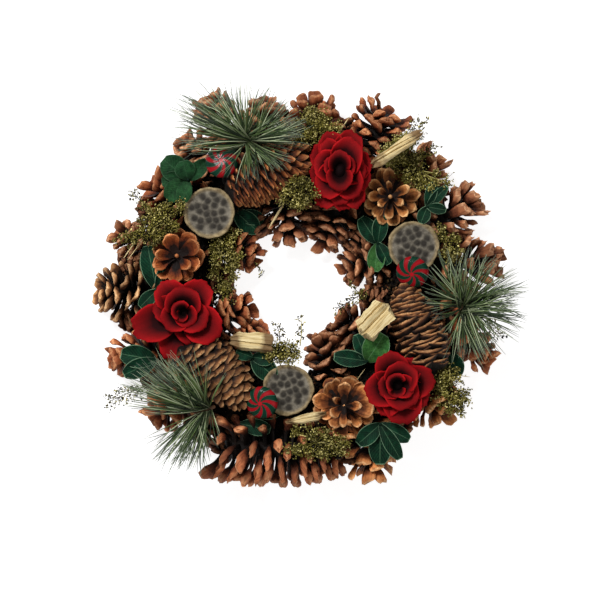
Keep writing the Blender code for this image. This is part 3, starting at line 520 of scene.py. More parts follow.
floor_mesh = bpy.data.meshes.new("floor")
FLOOR_HALF = 6.0
FLOOR_DEPTH = 0.0004
floor_corners = [(x * FLOOR_HALF, y * FLOOR_HALF, -FLOOR_DEPTH)
                 for x, y in ((-1, -1), (1, -1), (1, 1), (-1, 1))]
floor_mesh.from_pydata(floor_corners, [], [(0, 1, 2, 3)])
floor = new_object("floor", floor_mesh)
paper = Finish("floor_paper", roughness=0.9, specular=0.1)
paper.shader.inputs["Base Color"].default_value = (0.40, 0.40, 0.40, 1)
paper.shader.inputs["Emission Color"].default_value = (1, 1, 1, 1)
paper.shader.inputs["Emission Strength"].default_value = 0.86
floor_mesh.materials.append(paper.material)

world = bpy.data.worlds.new("studio")
world.use_nodes = True
world.node_tree.nodes["Background"].inputs["Color"].default_value = (1, 1, 1, 1)
world.node_tree.nodes["Background"].inputs["Strength"].default_value = 0.28
bpy.context.scene.world = world
bpy.context.scene.view_settings.view_transform = "Standard"


def soft_lamp(name, place, size, power):
    """A square lamp that looks at the wreath."""
    lamp = bpy.data.lights.new(name, "AREA")
    lamp.size = size
    lamp.energy = power
    thing = new_object(name, lamp)
    thing.location = place
    thing.rotation_mode = "QUATERNION"
    thing.rotation_quaternion = (Vector(place) - Vector(RING_CENTRE)).to_track_quat("Z", "Y")


soft_lamp("key_lamp", (-0.62, 0.80, 1.50), 0.45, 32.0)
soft_lamp("fill_lamp", (0.85, -0.55, 1.35), 0.9, 4.0)
print("lens in mm:", round(camera_data.lens, 1))

# %% [markdown]
# ## The vine ring
# The back of the wreath is a ring of vines, wound round each other. Each vine is one long blade that runs
# round the ring while it turns round the middle of the ring's section, so it passes over and under the
# others. Its path closes on itself after one round, because it makes whole turns.

# %% Vine ring
VINE_COUNT = 8
VINE_TURNS = 3
VINE_RADIUS = 5.0 * MM
RING_RADIUS = 97 * MM
VINE_ORBIT = np.array([11.2, 6.6]) * MM
VINE_STATIONS = 220
bark_rng = np.random.default_rng(11)


def vine_path(vine):
    """One vine's middle line: round the ring by a, and round its section by VINE_TURNS times a."""
    a = full_turn(VINE_STATIONS)
    b = VINE_TURNS * a + 2 * np.pi * vine / VINE_COUNT
    wander = 0.6 * MM * np.sin(5 * a + vine) + 0.4 * MM * np.sin(11 * a + 2 * vine)
    radius = RING_RADIUS + (VINE_ORBIT[0] + wander) * np.cos(b)
    return spot(rays(a)[0], radius, VINE_ORBIT[1] * (1 + np.sin(b)) + VINE_RADIUS + 0.5 * MM)


def closed_rings(stations, sides):
    """The quads of a tube whose last section joins the first."""
    here = sides * np.arange(stations)[:, None] + np.arange(sides)
    ahead = np.roll(here, -1, axis=0)
    return np.stack([here, np.roll(here, -1, 1), np.roll(ahead, -1, 1), ahead], -1).reshape(-1, 4)


def closed_tubes(paths, radius, sides):
    """Round tubes along closed paths (tube, station, xyz): the last section joins the first."""
    count, stations = paths.shape[:2]
    forward = unit(np.roll(paths, -1, axis=1) - np.roll(paths, 1, axis=1))
    aside = unit(np.cross(forward, UP))
    lift = np.cross(forward, aside)
    angle = full_turn(sides)[:, None]
    ring = aside[:, :, None] * np.cos(angle) + lift[:, :, None] * np.sin(angle)
    points = paths[:, :, None] + ring * radius[..., None]
    quads, triangles = copies(closed_rings(stations, sides), NO_TRIANGLES, count, stations * sides)
    chance = np.repeat(np.linspace(0, 1, count), stations * sides)
    return Shape(points.reshape(-1, 3), quads, triangles, {"chance": chance})


bark = Finish("vine_bark", roughness=0.85, specular=0.2)
bark_streak = bark.noise(260, 6.0, (1, 1, 0.4))
bark_tone = bark.ramp(bark_streak, [(0.3, screen(44, 28, 18)), (0.55, screen(98, 66, 42)),
                                    (0.75, screen(132, 98, 66))])
bark.colour(bark.mix(bark.sum("MULTIPLY", bark.value("chance"), 0.35), bark_tone, screen(70, 52, 38)))
bark.relief(bark_streak, 0.9, 1.2 * MM)

VINE_SIDES = 10
vine_paths = np.stack([vine_path(vine) for vine in range(VINE_COUNT)]) + RING_CENTRE * [1, 1, 0]
swell = 1 + 0.10 * np.sin(np.arange(VINE_STATIONS) * 0.9)[:, None]
knobs = 1 + 0.07 * bark_rng.standard_normal((VINE_COUNT, VINE_STATIONS, VINE_SIDES))
ring_shape = closed_tubes(vine_paths, VINE_RADIUS * 0.92 * swell * knobs, VINE_SIDES)
shape_object("vine_ring", ring_shape, bark.material, ["ring_base"])
print("vine ring:", made_triangles[-1], "triangles")

# %% [markdown]
# ## Small open cones
# An open cone is a spindle with scales set round it at the golden angle, 137.5 degrees from each to the
# next, which is how the plant grows them and why they never line up. Each scale leaves the spindle nearly
# square, bends towards the tip, and ends in a thick rounded paddle. Near the base the scales lean back,
# near the tip they close in. The cone is then fitted to the width and length of its solid.

# %% Open cone
SCALE_SHARE = np.array([0, 0.26, 0.48, 0.66, 0.79, 0.89, 0.96, 1.0])
PADDLE_WIDTH = np.array([0.52, 0.62, 0.76, 0.90, 1.0, 1.0, 0.92, 0.72])
PADDLE_DEPTH = np.array([0.34, 0.38, 0.44, 0.56, 0.80, 1.0, 0.94, 0.46])
FINGER_WIDTH = np.array([0.55, 0.62, 0.72, 0.84, 0.96, 1.0, 1.0, 0.94])
FINGER_DEPTH = np.array([0.50, 0.56, 0.62, 0.74, 0.90, 1.0, 0.95, 0.72])
TEARDROP_WIDTH = np.array([0.56, 0.48, 0.54, 0.82, 1.0, 0.98, 0.82, 0.50])
TEARDROP_DEPTH = np.array([0.50, 0.42, 0.46, 0.74, 0.96, 1.0, 0.80, 0.46])
SPEAR_WIDTH = np.array([0.50, 0.66, 0.86, 1.0, 1.0, 0.86, 0.60, 0.28])
SPEAR_DEPTH = np.array([0.50, 0.56, 0.66, 0.80, 0.95, 1.0, 0.76, 0.40])
MOST_LEAN = math.radians(64)
CORE_SHARE = 0.34
MOST_CORE = 7 * MM

ConeKind = namedtuple("ConeKind", "scales half_width depth widths depths "
                      "cup square lean_base lean_tip belly shut ragged droop",
                      defaults=(0,))
PLATE = ConeKind(38, 7.4, 2.4, PADDLE_WIDTH, PADDLE_DEPTH, 0.24, 1.3, 0, 54, 0.32, 0.54, 0.6)
STALKED = PLATE._replace(scales=58, half_width=6.6, depth=2.8, lean_base=-30, lean_tip=26, belly=0.38)
KNOB = ConeKind(42, 6.8, 2.8, PADDLE_WIDTH, PADDLE_DEPTH, 0.18, 0.60, -6, 54, 0.30, 0.56, 0.4)
SPEAR = ConeKind(46, 8.2, 1.9, SPEAR_WIDTH, SPEAR_DEPTH, 0.34, 1.4, -14, 52, 0.28, 0.56, 0.2)
FAN = ConeKind(36, 5.8, 1.7, FINGER_WIDTH, FINGER_DEPTH, 0.42, 0.62, 10, 60, 0.32, 0.58, 1.3)
HOLE = PLATE._replace(scales=30, half_width=7.6, depth=2.2, lean_base=6)
LARGE = ConeKind(78, 6.6, 3.5, TEARDROP_WIDTH, TEARDROP_DEPTH, 0.10, 0.9, -34, 36, 0.30, 0.44, 1.0, 42)


def bent_line(start, middle, end, share):
    """A curve from start to end that leaves towards the middle point: each point is
    (1 - t) squared * start + 2 t (1 - t) * middle + t squared * end."""
    t = share[None, :, None]
    return (1 - t) ** 2 * start[:, None] + 2 * t * (1 - t) * middle[:, None] + t ** 2 * end[:, None]


def spindle(length, base_radius, tip_radius):
    """The woody axis of a cone: a rod of ten sides along Z."""
    share = np.linspace(0, 1, 6)
    return rod(spot(UP, 0, (share - 0.5) * length), base_radius + (tip_radius - base_radius) * share, 10)


def fitted(shape, width, length):
    """The shape scaled to its width across Z and its length along Z, and centred. The few points that
    stand out most don't count."""
    low, high = np.percentile(shape.points[:, 2], [0.4, 99.6])
    widest = np.percentile(np.hypot(shape.points[:, 0], shape.points[:, 1]), 99.6)
    size = np.array([width / 2 / widest, width / 2 / widest, length / (high - low)])
    return shape._replace(points=(shape.points - [0, 0, (low + high) / 2]) * size)


def weathered(shape, amount, wave):
    """The shape's points moved by slow waves along each axis, amount * sin(2 pi * (mixed place) / wave),
    so that no two scales keep quite the same form."""
    turn = np.array([[0.80, 0.52, -0.30], [-0.43, 0.85, 0.31], [0.41, -0.12, 0.90]])
    phase = shape.points @ turn * (2 * np.pi / wave)
    waves = np.sin(phase[:, [1, 2, 0]]) + 0.6 * np.sin(2.3 * phase[:, [2, 0, 1]] + 1.7)
    return shape._replace(points=shape.points + amount * waves / 1.6)


def drooped(path, angle, degrees, share):
    """The scales of the upper side, where sin(angle) is above 0, turned round the spindle by the degrees
    times sin(angle) times the share to the power 1.5, so that they lie down to one side."""
    turn = np.radians(degrees) * np.clip(np.sin(angle), 0, 1)[:, None] * share ** 1.5
    x, y = path[..., 0], path[..., 1]
    return np.stack([x * np.cos(turn) - y * np.sin(turn), x * np.sin(turn) + y * np.cos(turn),
                     path[..., 2]], -1)


def twisted(aside, amount, rng):
    """The sideways directions, each turned up or down at random."""
    twist = rng.normal(0, amount, (len(aside), 1))
    return aside * np.cos(twist) + UP * np.sin(twist)


def open_cone(kind, width, length, rng):
    """A ripe cone along +Z, base down.

    Scale k of n sits at the share s = k / n of the spindle and at the angle k times the golden angle. Its
    end lies at the radius half * sin(pi * (belly + (0.93 - belly) * s)) to the power shut, and rises by
    the reach times the tangent of its lean, which grows from lean_base to lean_tip.
    """
    count = kind.scales
    share = (np.arange(count) + 0.5) / count
    angle = np.arange(count) * GOLDEN_ANGLE + rng.normal(0, 0.08, count)
    half = width / 2
    outline = np.sin(np.pi * (kind.belly + (0.93 - kind.belly) * share)) ** kind.shut
    reach = half * outline * rng.uniform(0.86, 1.03, count)
    lean = np.radians(kind.lean_base + (kind.lean_tip - kind.lean_base) * share ** 1.1)
    lean = np.minimum(lean + np.radians(rng.normal(0, 6, count)), MOST_LEAN)
    level = (0.08 + 0.74 * share - 0.5) * length
    root = half * (0.28 - 0.20 * share)
    rise = reach * np.tan(lean) * 0.72
    outward, aside = rays(angle)
    path = bent_line(spot(outward, root * 0.5, level),
                     spot(outward, root + (reach - root) * 0.60, level + rise * 0.16),
                     spot(outward, reach, level + rise), SCALE_SHARE)
    aside = twisted(aside, 0.24, rng)
    size = (0.56 + 0.44 * np.sin(np.pi * (0.20 + 0.62 * share)))[:, None]
    size = size * rng.uniform(0.84, 1.14, (count, 1))
    widths = kind.half_width * MM * kind.widths * size
    depths = kind.depth * MM * kind.depths * (0.6 + 0.4 * size)
    scales = blades(drooped(path, angle, kind.droop, SCALE_SHARE), aside, widths, depths, 10,
                    camber=kind.cup * widths, keel=0.2, flatness=kind.square, chance=rng.random(count),
                    nose=0.25, crown=0.84, ragged=kind.ragged * MM)
    # The spindle is marked with the lowest along, so it takes the darkest tone: painted shade deep in the
    # cone.
    core = marked(spindle(length * 0.72, min(half * CORE_SHARE, MOST_CORE), half * 0.10), along=0)
    return fitted(join([weathered(scales, 0.6 * MM, 6 * MM), core]), width, length)


def above_table(shape):
    """The shape with all of it above the table: below 4 mm, a height z becomes
    0.4 + 3.6 e^((z - 4) / 3.6)."""
    z = shape.points[:, 2] / MM
    z = np.where(z < 4, 0.4 + 3.6 * np.exp((np.minimum(z, 4) - 4) / 3.6), z)
    return shape._replace(points=np.column_stack([shape.points[:, :2], z * MM]))


# %% Where the small cones are
# Each line: solid, pixel of what shows, aim of the free end, width and length that show, lift, kind,
# finish, growth of the width past the solid's, and the share of the length that is left off, at the base
# or, below zero, at the tip.
ConePlace = namedtuple("ConePlace", "node pixel aim width seen lift kind finish growth trim", defaults=(0.0,))
CONE_PLACES = [
    ConePlace("cone_rim_09", (118, 292), 180, 50, 48, 6, SPEAR, "pale", 1.18),
    ConePlace("cone_rim_0930", (128, 237), 160, 36, 40, 10, PLATE, "fan", 1.20),
    ConePlace("cone_rim_10", (162, 187), 146, 44, 44, 6, PLATE, "red_brown", 1.34),
    ConePlace("cone_rim_11", (191, 150), 132, 34, 36, 14, PLATE, "fan", 1.26),
    ConePlace("cone_rim_1120", (218, 118), 119, 36, 36, 4, PLATE, "brown", 1.24),
    ConePlace("cone_rim_1120", (267, 109), 96, 38, 40, 10, PLATE, "brown", 1.16, -0.24),
    ConePlace("cone_rim_12", (315, 111), 88, 48, 42, 6, KNOB, "red_brown", 1.24),
    ConePlace("cone_rim_01", (378, 130), 248, 45, 46, -4, STALKED, "red_brown", 1.14, 0.16),
    ConePlace("cone_rim_0130", (428, 165), 52, 38, 40, 12, FAN, "fan", 1.24),
    ConePlace("cone_rim_0130", (457, 208), 31, 44, 50, 4, FAN, "fan", 1.24),
    ConePlace("cone_rim_0230", (478, 262), 4, 42, 46, 12, FAN, "fan", 1.24),
    ConePlace("cone_rim_0330", (480, 351), 322, 38, 38, 6, PLATE, "red_brown", 1.20),
    ConePlace("cone_rim_0430", (439, 410), 314, 46, 42, 6, PLATE, "light", 1.24),
    ConePlace("cone_rim_0515", (371, 464), 282, 44, 42, 4, PLATE, "light", 1.24),
    ConePlace("cone_rim_0730", (166, 411), 216, 42, 42, 8, PLATE, "red_brown", 1.20),
    ConePlace("cone_rim_0830", (127, 356), 196, 40, 42, 4, PLATE, "red_brown", 1.22),
    ConePlace("cone_hole_10", (247, 255), 336, 34, 34, 12, HOLE, "red_brown", 1.20),
    ConePlace("cone_hole_12", (288, 225), 277, 40, 36, 8, HOLE, "brown", 1.16),
    ConePlace("cone_hole_12", (333, 233), 248, 40, 38, 14, HOLE, "brown", 1.16),
    ConePlace("cone_hole_02", (358, 266), 196, 34, 34, 6, HOLE, "brown", 1.24),
    ConePlace("cone_hole_04", (351, 322), 152, 38, 36, 12, HOLE, "brown", 1.16),
    ConePlace("cone_hole_04", (320, 351), 105, 38, 36, 6, HOLE, "red_brown", 1.16),
    ConePlace("cone_hole_0830", (234, 312), 12, 38, 38, 8, HOLE, "red_brown", 1.16),
    ConePlace("cone_hole_0830", (256, 343), 58, 30, 32, 14, HOLE, "brown", 1.16),
]


def span_distance(points, start, end):
    """Distance in plan of each point from the straight span between two points."""
    span = (end - start)[:2]
    share = np.clip((points[:, :2] - start[:2]) @ span / (span @ span), 0, 1)
    return np.linalg.norm(points[:, :2] - start[:2] - share[:, None] * span, axis=1)


def cone_span(place):
    """The stretch in plan that the photograph gives for a cone, run back a little towards the ring. The
    cone at 1 o'clock lies with its base outwards."""
    middle = photo_place(place.pixel, 0.0)
    towards_end = heading(place.aim) * place.seen / 2 * MM * (-1 if place.node == "cone_rim_01" else 1)
    return middle - towards_end * 1.5, middle + towards_end


def cone_measures(place):
    """Middle, axis, width and length of a cone, from its solid.

    Two cones that are glued together share a solid, so each takes the corners that lie nearest to it.
    """
    axis = heading(place.aim, place.lift)
    points = node_points(place.node)
    twins = [other for other in CONE_PLACES if other.node == place.node]
    if len(twins) > 1:
        distances = np.stack([span_distance(points, *cone_span(other)) for other in twins])
        points = points[distances.argmin(axis=0) == twins.index(place)]
    centre, size = extent_along(points, axis)
    centre = centre + axis * size[2] * place.trim / 2
    return centre, axis, place.growth * min(place.width * MM, size[:2].max()), size[2] * (1 - abs(place.trim))


def make_small_cones():
    """Every small cone round the rim and the hole, one object for each solid, in its first cone's finish."""
    cones, finishes = {}, {}
    for order, place in enumerate(CONE_PLACES):
        centre, axis, width, length = cone_measures(place)
        cone = open_cone(place.kind, width, length, np.random.default_rng(100 + order))
        cones.setdefault(place.node, []).append(moved(cone, centre, frame_along(axis)))
        finishes.setdefault(place.node, CONE_FINISHES[place.finish])
    for node, shapes in cones.items():
        shape_object(node + "_scales", above_table(join(shapes)), finishes[node], [node], 38)
    return len(cones)


print("small cone objects:", make_small_cones(), "triangles so far:", sum(made_triangles))

# %% [markdown]
# ## Cones that only fill
# Between the cones that the solids stand for, bits of others show from deeper in the wreath. They close
# the gaps at the rim and round the hole, as the maker's own filling does. One cone at the top lies with
# its stalk outwards.

# %% Filling cones and a stalk
# Clock angles of the filling cones.
RIM_CLOCKS = (171, 151, 134, 108, 92, 74, 52, 35, 17.6, 358, 348, 340, 332, 307, 286, 244, 235, 211, 190)
HOLE_CLOCKS = (120, 79, 38, 356, 310, 172)
# Clocks, radius round the ring, height, width and length in mm, and the turn of the tip from outwards.
FILLING_RINGS = [(RIM_CLOCKS, 134, 17, 26, 32, 0), (HOLE_CLOCKS, 64, 15, 26, 24, 180)]
FILLING = PLATE._replace(scales=30)
# The stalk's line: pixels and heights in mm.
STALK_LINE = [((379.5, 108), 25), ((379, 101), 33), ((376.5, 97), 36), ((379, 93), 37)]


def make_filling_cones():
    """The half-hidden cones of the rim and the hole in one object, and the stalk in another."""
    shapes = []
    for clocks, radius, height, width, length, turn in FILLING_RINGS:
        for clock in clocks:
            cone = open_cone(FILLING, width * MM, length * MM, np.random.default_rng(int(clock) + 600))
            place = RING_CENTRE * [1, 1, 0] + heading(clock) * radius * MM + [0, 0, height * MM]
            shapes.append(moved(cone, place, frame_along(heading(clock + turn, 4))))
    shape_object("cone_filling", above_table(join(shapes)), CONE_FINISHES["filling"], crease=38)
    line = np.stack([photo_place(pixel, height * MM) for pixel, height in STALK_LINE])[None]
    stalk = blades(line, np.array([[1.0, 0, 0]]), 1.7 * MM, 1.6 * MM, 8)
    stalk = marked(stalk, along=0.8 + 0.1 * stalk.values["along"])
    shape_object("cone_stalk", stalk, CONE_FINISHES["fan"])


make_filling_cones()
print("filling cones:", made_triangles[-2], "triangles")

# %% [markdown]
# ## The large open cone
# At the bottom of the wreath one long cone lies on its side. Its scales are fingers: a thin dark stalk
# and a heavy teardrop at the end. It is the same construction with other numbers.

# %% Large open cone
large_axis = heading(-4)
centre, size = extent_along(node_points("cone_large_open"), large_axis)
large_cone = open_cone(LARGE, 1.08 * size[:2].max(), size[2], np.random.default_rng(7))
large_cone = above_table(moved(large_cone, centre, frame_along(large_axis)))
shape_object("cone_large_scales", large_cone, CONE_FINISHES["large"], ["cone_large_open"], 38)
print("large cone:", made_triangles[-1], "triangles")

# %% [markdown]
# ## Closed cones
# On a closed cone the scales lie on an egg-shaped body like shingles, and what shows of each is a broad
# curved lip with a dark gap behind it. The scales follow the golden angle again. Their roots are deep in
# the body, and they wrap round it, so the lips read as arcs.

# %% Closed cones
SHINGLE_SHARE = np.array([0, 0.30, 0.55, 0.75, 0.88, 0.96, 1.0])
SHINGLE_WIDTH = np.array([0.55, 0.78, 0.96, 1.0, 0.86, 0.62, 0.36])
SHINGLE_DEPTH = np.array([0.6, 0.7, 0.85, 1.0, 1.0, 0.85, 0.55])
POINTED_WIDTH = np.array([0.70, 0.92, 1.0, 0.86, 0.60, 0.34, 0.12])
ShinglePlace = namedtuple("ShinglePlace", "node aim gape scales broad depth widths finish inset droop lift",
                          defaults=(0,))
# Each line: solid, aim of the tip, gape of the scales in degrees, how many, how broad and deep, their
# outline and finish, how much of a scale lies inside, and the droop in degrees.
SHINGLE_PLACES = [
    ShinglePlace("cone_closed_1130", 23.6, 20, 176, 0.44, 0.9, POINTED_WIDTH, "shingle", 0.62, 40),
    ShinglePlace("cone_closed_0730", 315.0, 38, 104, 0.54, 1.10, SHINGLE_WIDTH, "shingle_tan", 0.40, 0),
    ShinglePlace("cone_closed_0330", 110.0, 32, 96, 0.94, 0.70, SHINGLE_WIDTH, "shingle_dark", 0.40, 0),
]


def closed_cone(place, size, rng):
    """A closed cone along +Z. The body's radius at the share s is half * sin(pi * (0.17 + 0.76 s)) to the
    power 0.62; a scale starts inside it and rises at the gape angle until its lip stands proud of it."""
    count, length, half = place.scales, size[2], size[:2].max() / 2
    share = (np.arange(count) + 0.5) / count
    angle = np.arange(count) * GOLDEN_ANGLE
    body = half * np.sin(np.pi * (0.17 + 0.76 * share)) ** 0.62
    level = (0.03 + 0.86 * share - 0.5) * length
    climb = np.tan(np.radians(place.gape + (80 - place.gape) * share ** 2.5))
    outward, aside = rays(angle)
    end_radius = body * rng.uniform(0.88, 1.05, count)
    inset = place.inset * body
    start = spot(outward, end_radius - inset, level - inset * climb * 0.55)
    end = spot(outward, end_radius, level + inset * climb * 0.45)
    path = bent_line(start, (start + end) / 2 + spot(outward, 0.10 * body, 0), end, SHINGLE_SHARE)
    aside = twisted(aside, 0.10, rng)
    widest = 2 * np.pi * body / 8 * place.broad
    widths = widest[:, None] * place.widths * rng.uniform(0.90, 1.08, (count, 1))
    scales = blades(drooped(path, angle, place.droop, SHINGLE_SHARE), aside, widths,
                    place.depth * MM * SHINGLE_DEPTH, 12, camber=0.34 * widths, keel=0.5, flatness=0.75,
                    chance=rng.random(count), nose=0.3, ragged=0.4 * MM)
    share = np.linspace(0, 1, 9)
    radius = 0.60 * half * np.sin(np.pi * (0.12 + 0.80 * share)) ** 0.62
    # The body is marked with the lowest along, so it takes the darkest tone: painted shade in the gaps behind
    # the lips.
    core = marked(rod(spot(UP, 0, (share - 0.5) * length * 0.94), radius, 16), along=0)
    return fitted(join([weathered(scales, 0.35 * MM, 6 * MM), core]), 2 * half, length)


for order, place in enumerate(SHINGLE_PLACES):
    dress(place, "_scales", closed_cone, CONE_FINISHES[place.finish], 200 + order, 40)
print("closed cones:", sum(made_triangles[-3:]), "triangles")

# %% [markdown]
# ## Cones that face the viewer
# Three cones stand with their tips towards the viewer and read as rosettes. Their scales are spoons:
# hollow, rounded and rimmed, wide and nearly level outside, small and steep inside, round a small button.

# %% Rosette cones
SPOON_SHARE = np.array([0, 0.20, 0.40, 0.56, 0.70, 0.81, 0.90, 0.96, 1.0])
SPOON_WIDTH = np.array([0.36, 0.46, 0.62, 0.80, 0.94, 1.0, 0.92, 0.70, 0.38])
SPOON_DEPTH = np.array([0.9, 0.8, 0.75, 0.8, 0.9, 1.0, 1.1, 1.0, 0.6])
TIER_LEVEL = np.array([0.14, 0.30, 0.46])
TIER_RISE = np.array([0.20, 0.34, 0.46])
RosettePlace = namedtuple("RosettePlace", "node pixel finish slot grow uneven spoons")
# Each spoon: aim in degrees, reach and half width in pixels, tier from 0, the lowest, to 2.
ROSETTE_PLACES = [
    RosettePlace("cone_rosette_0930", (177.5, 256), "orange", "cone", 1.08, 0.10, [
        (112, 22, 8.0, 2), (31, 24, 8.0, 2), (333, 25, 7.5, 1), (316, 18, 5.5, 2), (266, 27, 7.2, 1),
        (205, 24, 7.0, 1),
        (178, 20, 5.5, 2), (54, 26, 8.5, 1), (228, 29, 8.0, 0), (156, 26, 7.5, 0), (2, 27, 8.0, 0),
        (298, 27, 7.5, 0),
        (85, 26, 7.0, 0), (130, 26, 7.0, 0)]),
    RosettePlace("cone_rosette_0130", (390, 197), "golden", "cone_golden", 1.02, 0.12, [
        (92, 28, 6.4, 1), (60, 29, 7.0, 0), (112, 29, 6.5, 0), (143, 25, 5.8, 1), (178, 21, 5.5, 1),
        (202, 27, 6.0, 0),
        (250, 29, 7.5, 0), (279, 28, 7.5, 0), (266, 21, 5.0, 1), (312, 24, 5.5, 1), (335, 28, 6.5, 0),
        (6, 28, 6.5, 1),
        (30, 29, 6.5, 0), (95, 15, 3.6, 2), (27, 19, 4.8, 2), (330, 15, 4.2, 2), (160, 28, 6.0, 0),
        (228, 25, 5.5, 0),
        (215, 14, 3.8, 2), (150, 13, 3.2, 2)]),
    RosettePlace("cone_rosette_05", (344.4, 405), "light", "cone_golden", 1.12, 0.40, [
        (90, 21, 6.3, 2), (78, 28, 8.5, 0), (55, 26, 6.8, 1), (352, 30, 9.0, 0), (2, 17, 4.6, 2),
        (326, 30, 7.0, 0),
        (304, 24, 6.3, 1), (296, 32, 7.4, 0), (238, 29, 7.2, 1), (213, 17, 4.8, 2), (168, 27, 7.5, 1),
        (135, 29, 7.5, 0),
        (207, 30, 7.0, 0), (265, 17, 3.8, 2), (262, 30, 7.0, 0), (30, 27, 7.0, 0), (110, 26, 6.5, 1),
        (190, 28, 6.5, 0),
        (150, 14, 3.6, 2)]),
]


def rosette_cone(place, height, rng):
    """A cone along +Z seen from its tip, from its place's list of spoons.

    A spoon's middle line reaches out evenly; it starts at its tier's level, rises with the share squared
    and a little more at its lip, where the tier sets how far. Its edges stand up, so it is hollow.
    """
    aim, reach, half, tier = (np.array(column, float) for column in zip(*place.spoons))
    count = len(aim)
    tier = tier.astype(int)
    outward, aside = rays(np.radians(aim) + rng.normal(0, 0.03, count))
    reach = (reach * PIXEL * (1 + place.uneven * rng.uniform(-0.4, 0.5, count)))[:, None]
    level = (TIER_LEVEL[tier] * height * (1 + 2 * place.uneven * rng.uniform(-1, 1, count)))[:, None]
    rise = (TIER_RISE[tier] * height * rng.uniform(0.8, 1.2, count))[:, None]
    t = SPOON_SHARE[None]
    radius = reach * (0.04 + 0.96 * t ** 0.92)
    climb = level + rise * (0.75 * t ** 2 + 0.25 * np.clip((t - 0.7) / 0.3, 0, 1) ** 2)
    path = outward[:, None] * radius[..., None] + UP * climb[..., None]
    aside = twisted(aside, 0.14 + place.uneven, rng)
    widths = (place.grow * half * PIXEL)[:, None] * SPOON_WIDTH
    hollow = 0.46 * widths * np.sin(np.pi * np.clip(0.15 + 0.72 * SPOON_SHARE, 0, 1))
    scales = blades(path, aside, widths, 1.25 * MM * SPOON_DEPTH, 16, camber=hollow, keel=0.3, flatness=0.9,
                    chance=rng.random(count), ragged=0.5 * MM)
    return weathered(scales, 0.45 * MM, 9 * MM)


def button(height, radius):
    """The small knob in the middle of a rosette: a turned dome."""
    t = np.linspace(0.02, 1, 7)[:, None] * np.ones((1, 12))
    dome = turned(radius * np.sin(np.pi * (0.5 + 0.5 * t)) ** 0.6, height - 2.2 * radius * (1 - t), 12)
    return marked(dome, along=0.92, across=0.9, chance=0.95)


def under_scales(width, height, rng):
    """The lower scales of an upright cone, below the spoons: level or hanging, at the golden angle. Their
    along is cut to 62 percent and their chance to 40 percent, so they take the dark end of the finish:
    painted shade under the spoons.
    """
    count = 16
    share = (np.arange(count) + 0.5) / count
    outward, aside = rays(np.arange(count) * GOLDEN_ANGLE)
    start = spot(outward, 1.5 * MM, height * (0.06 + 0.14 * share))
    end = spot(outward, width * 0.47 * (0.80 + 0.20 * share), height * (-0.02 + 0.22 * share))
    path = bent_line(start, (start + end) / 2 + UP * 1.5 * MM, end, SPOON_SHARE)
    widths = 6.0 * MM * SPOON_WIDTH
    scales = blades(path, aside, widths, 1.2 * MM, 10, camber=0.2 * widths, flatness=0.9,
                    chance=0.4 * rng.random(count))
    # Painted shade: a low along gives the dark tones of the shaded underside.
    return marked(scales, along=0.62 * scales.values["along"])


def make_rosettes():
    """The three upright cones, each with a button, over their solids."""
    for order, place in enumerate(ROSETTE_PLACES):
        rng = np.random.default_rng(300 + order)
        low, high = (np.array(corner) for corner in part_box(place.node))
        height = high[2] - low[2]
        spoons = rosette_cone(place, height, rng)
        core = moved(spindle(height * 0.7, 3.4 * MM, 1.2 * MM), UP * height * 0.35)
        lower = under_scales((high - low)[:2].mean(), height, rng)
        cone = join([spoons, lower, core, button(height * 0.80, 1.7 * MM)])
        shape_object(place.node + "_spoons", moved(cone, photo_place(place.pixel, low[2])),
                     CONE_FINISHES[place.finish], [place.node], 45)


make_rosettes()
print("rosettes:", sum(made_triangles[-3:]), "triangles")

# %% [markdown]
# ## Roses of wood shaving
# Each rose is rolled from dyed shavings. A petal is a patch of a bowl round the flower's axis, a little
# wider on one side so that its neighbour tucks in behind it, with a rim that is not quite even. Inner
# petals stand steep round a dark heart, and outer ones lie open. The heart is a rod in the darkest tone,
# painted shade deep in the funnel, and each petal is painted dark at its foot and down its middle, as
# shade in the folds.

# %% Roses
PETAL_THICKNESS = 0.7 * MM
RosePlace = namedtuple("RosePlace", "node pixel stretch scoop lobe petals")
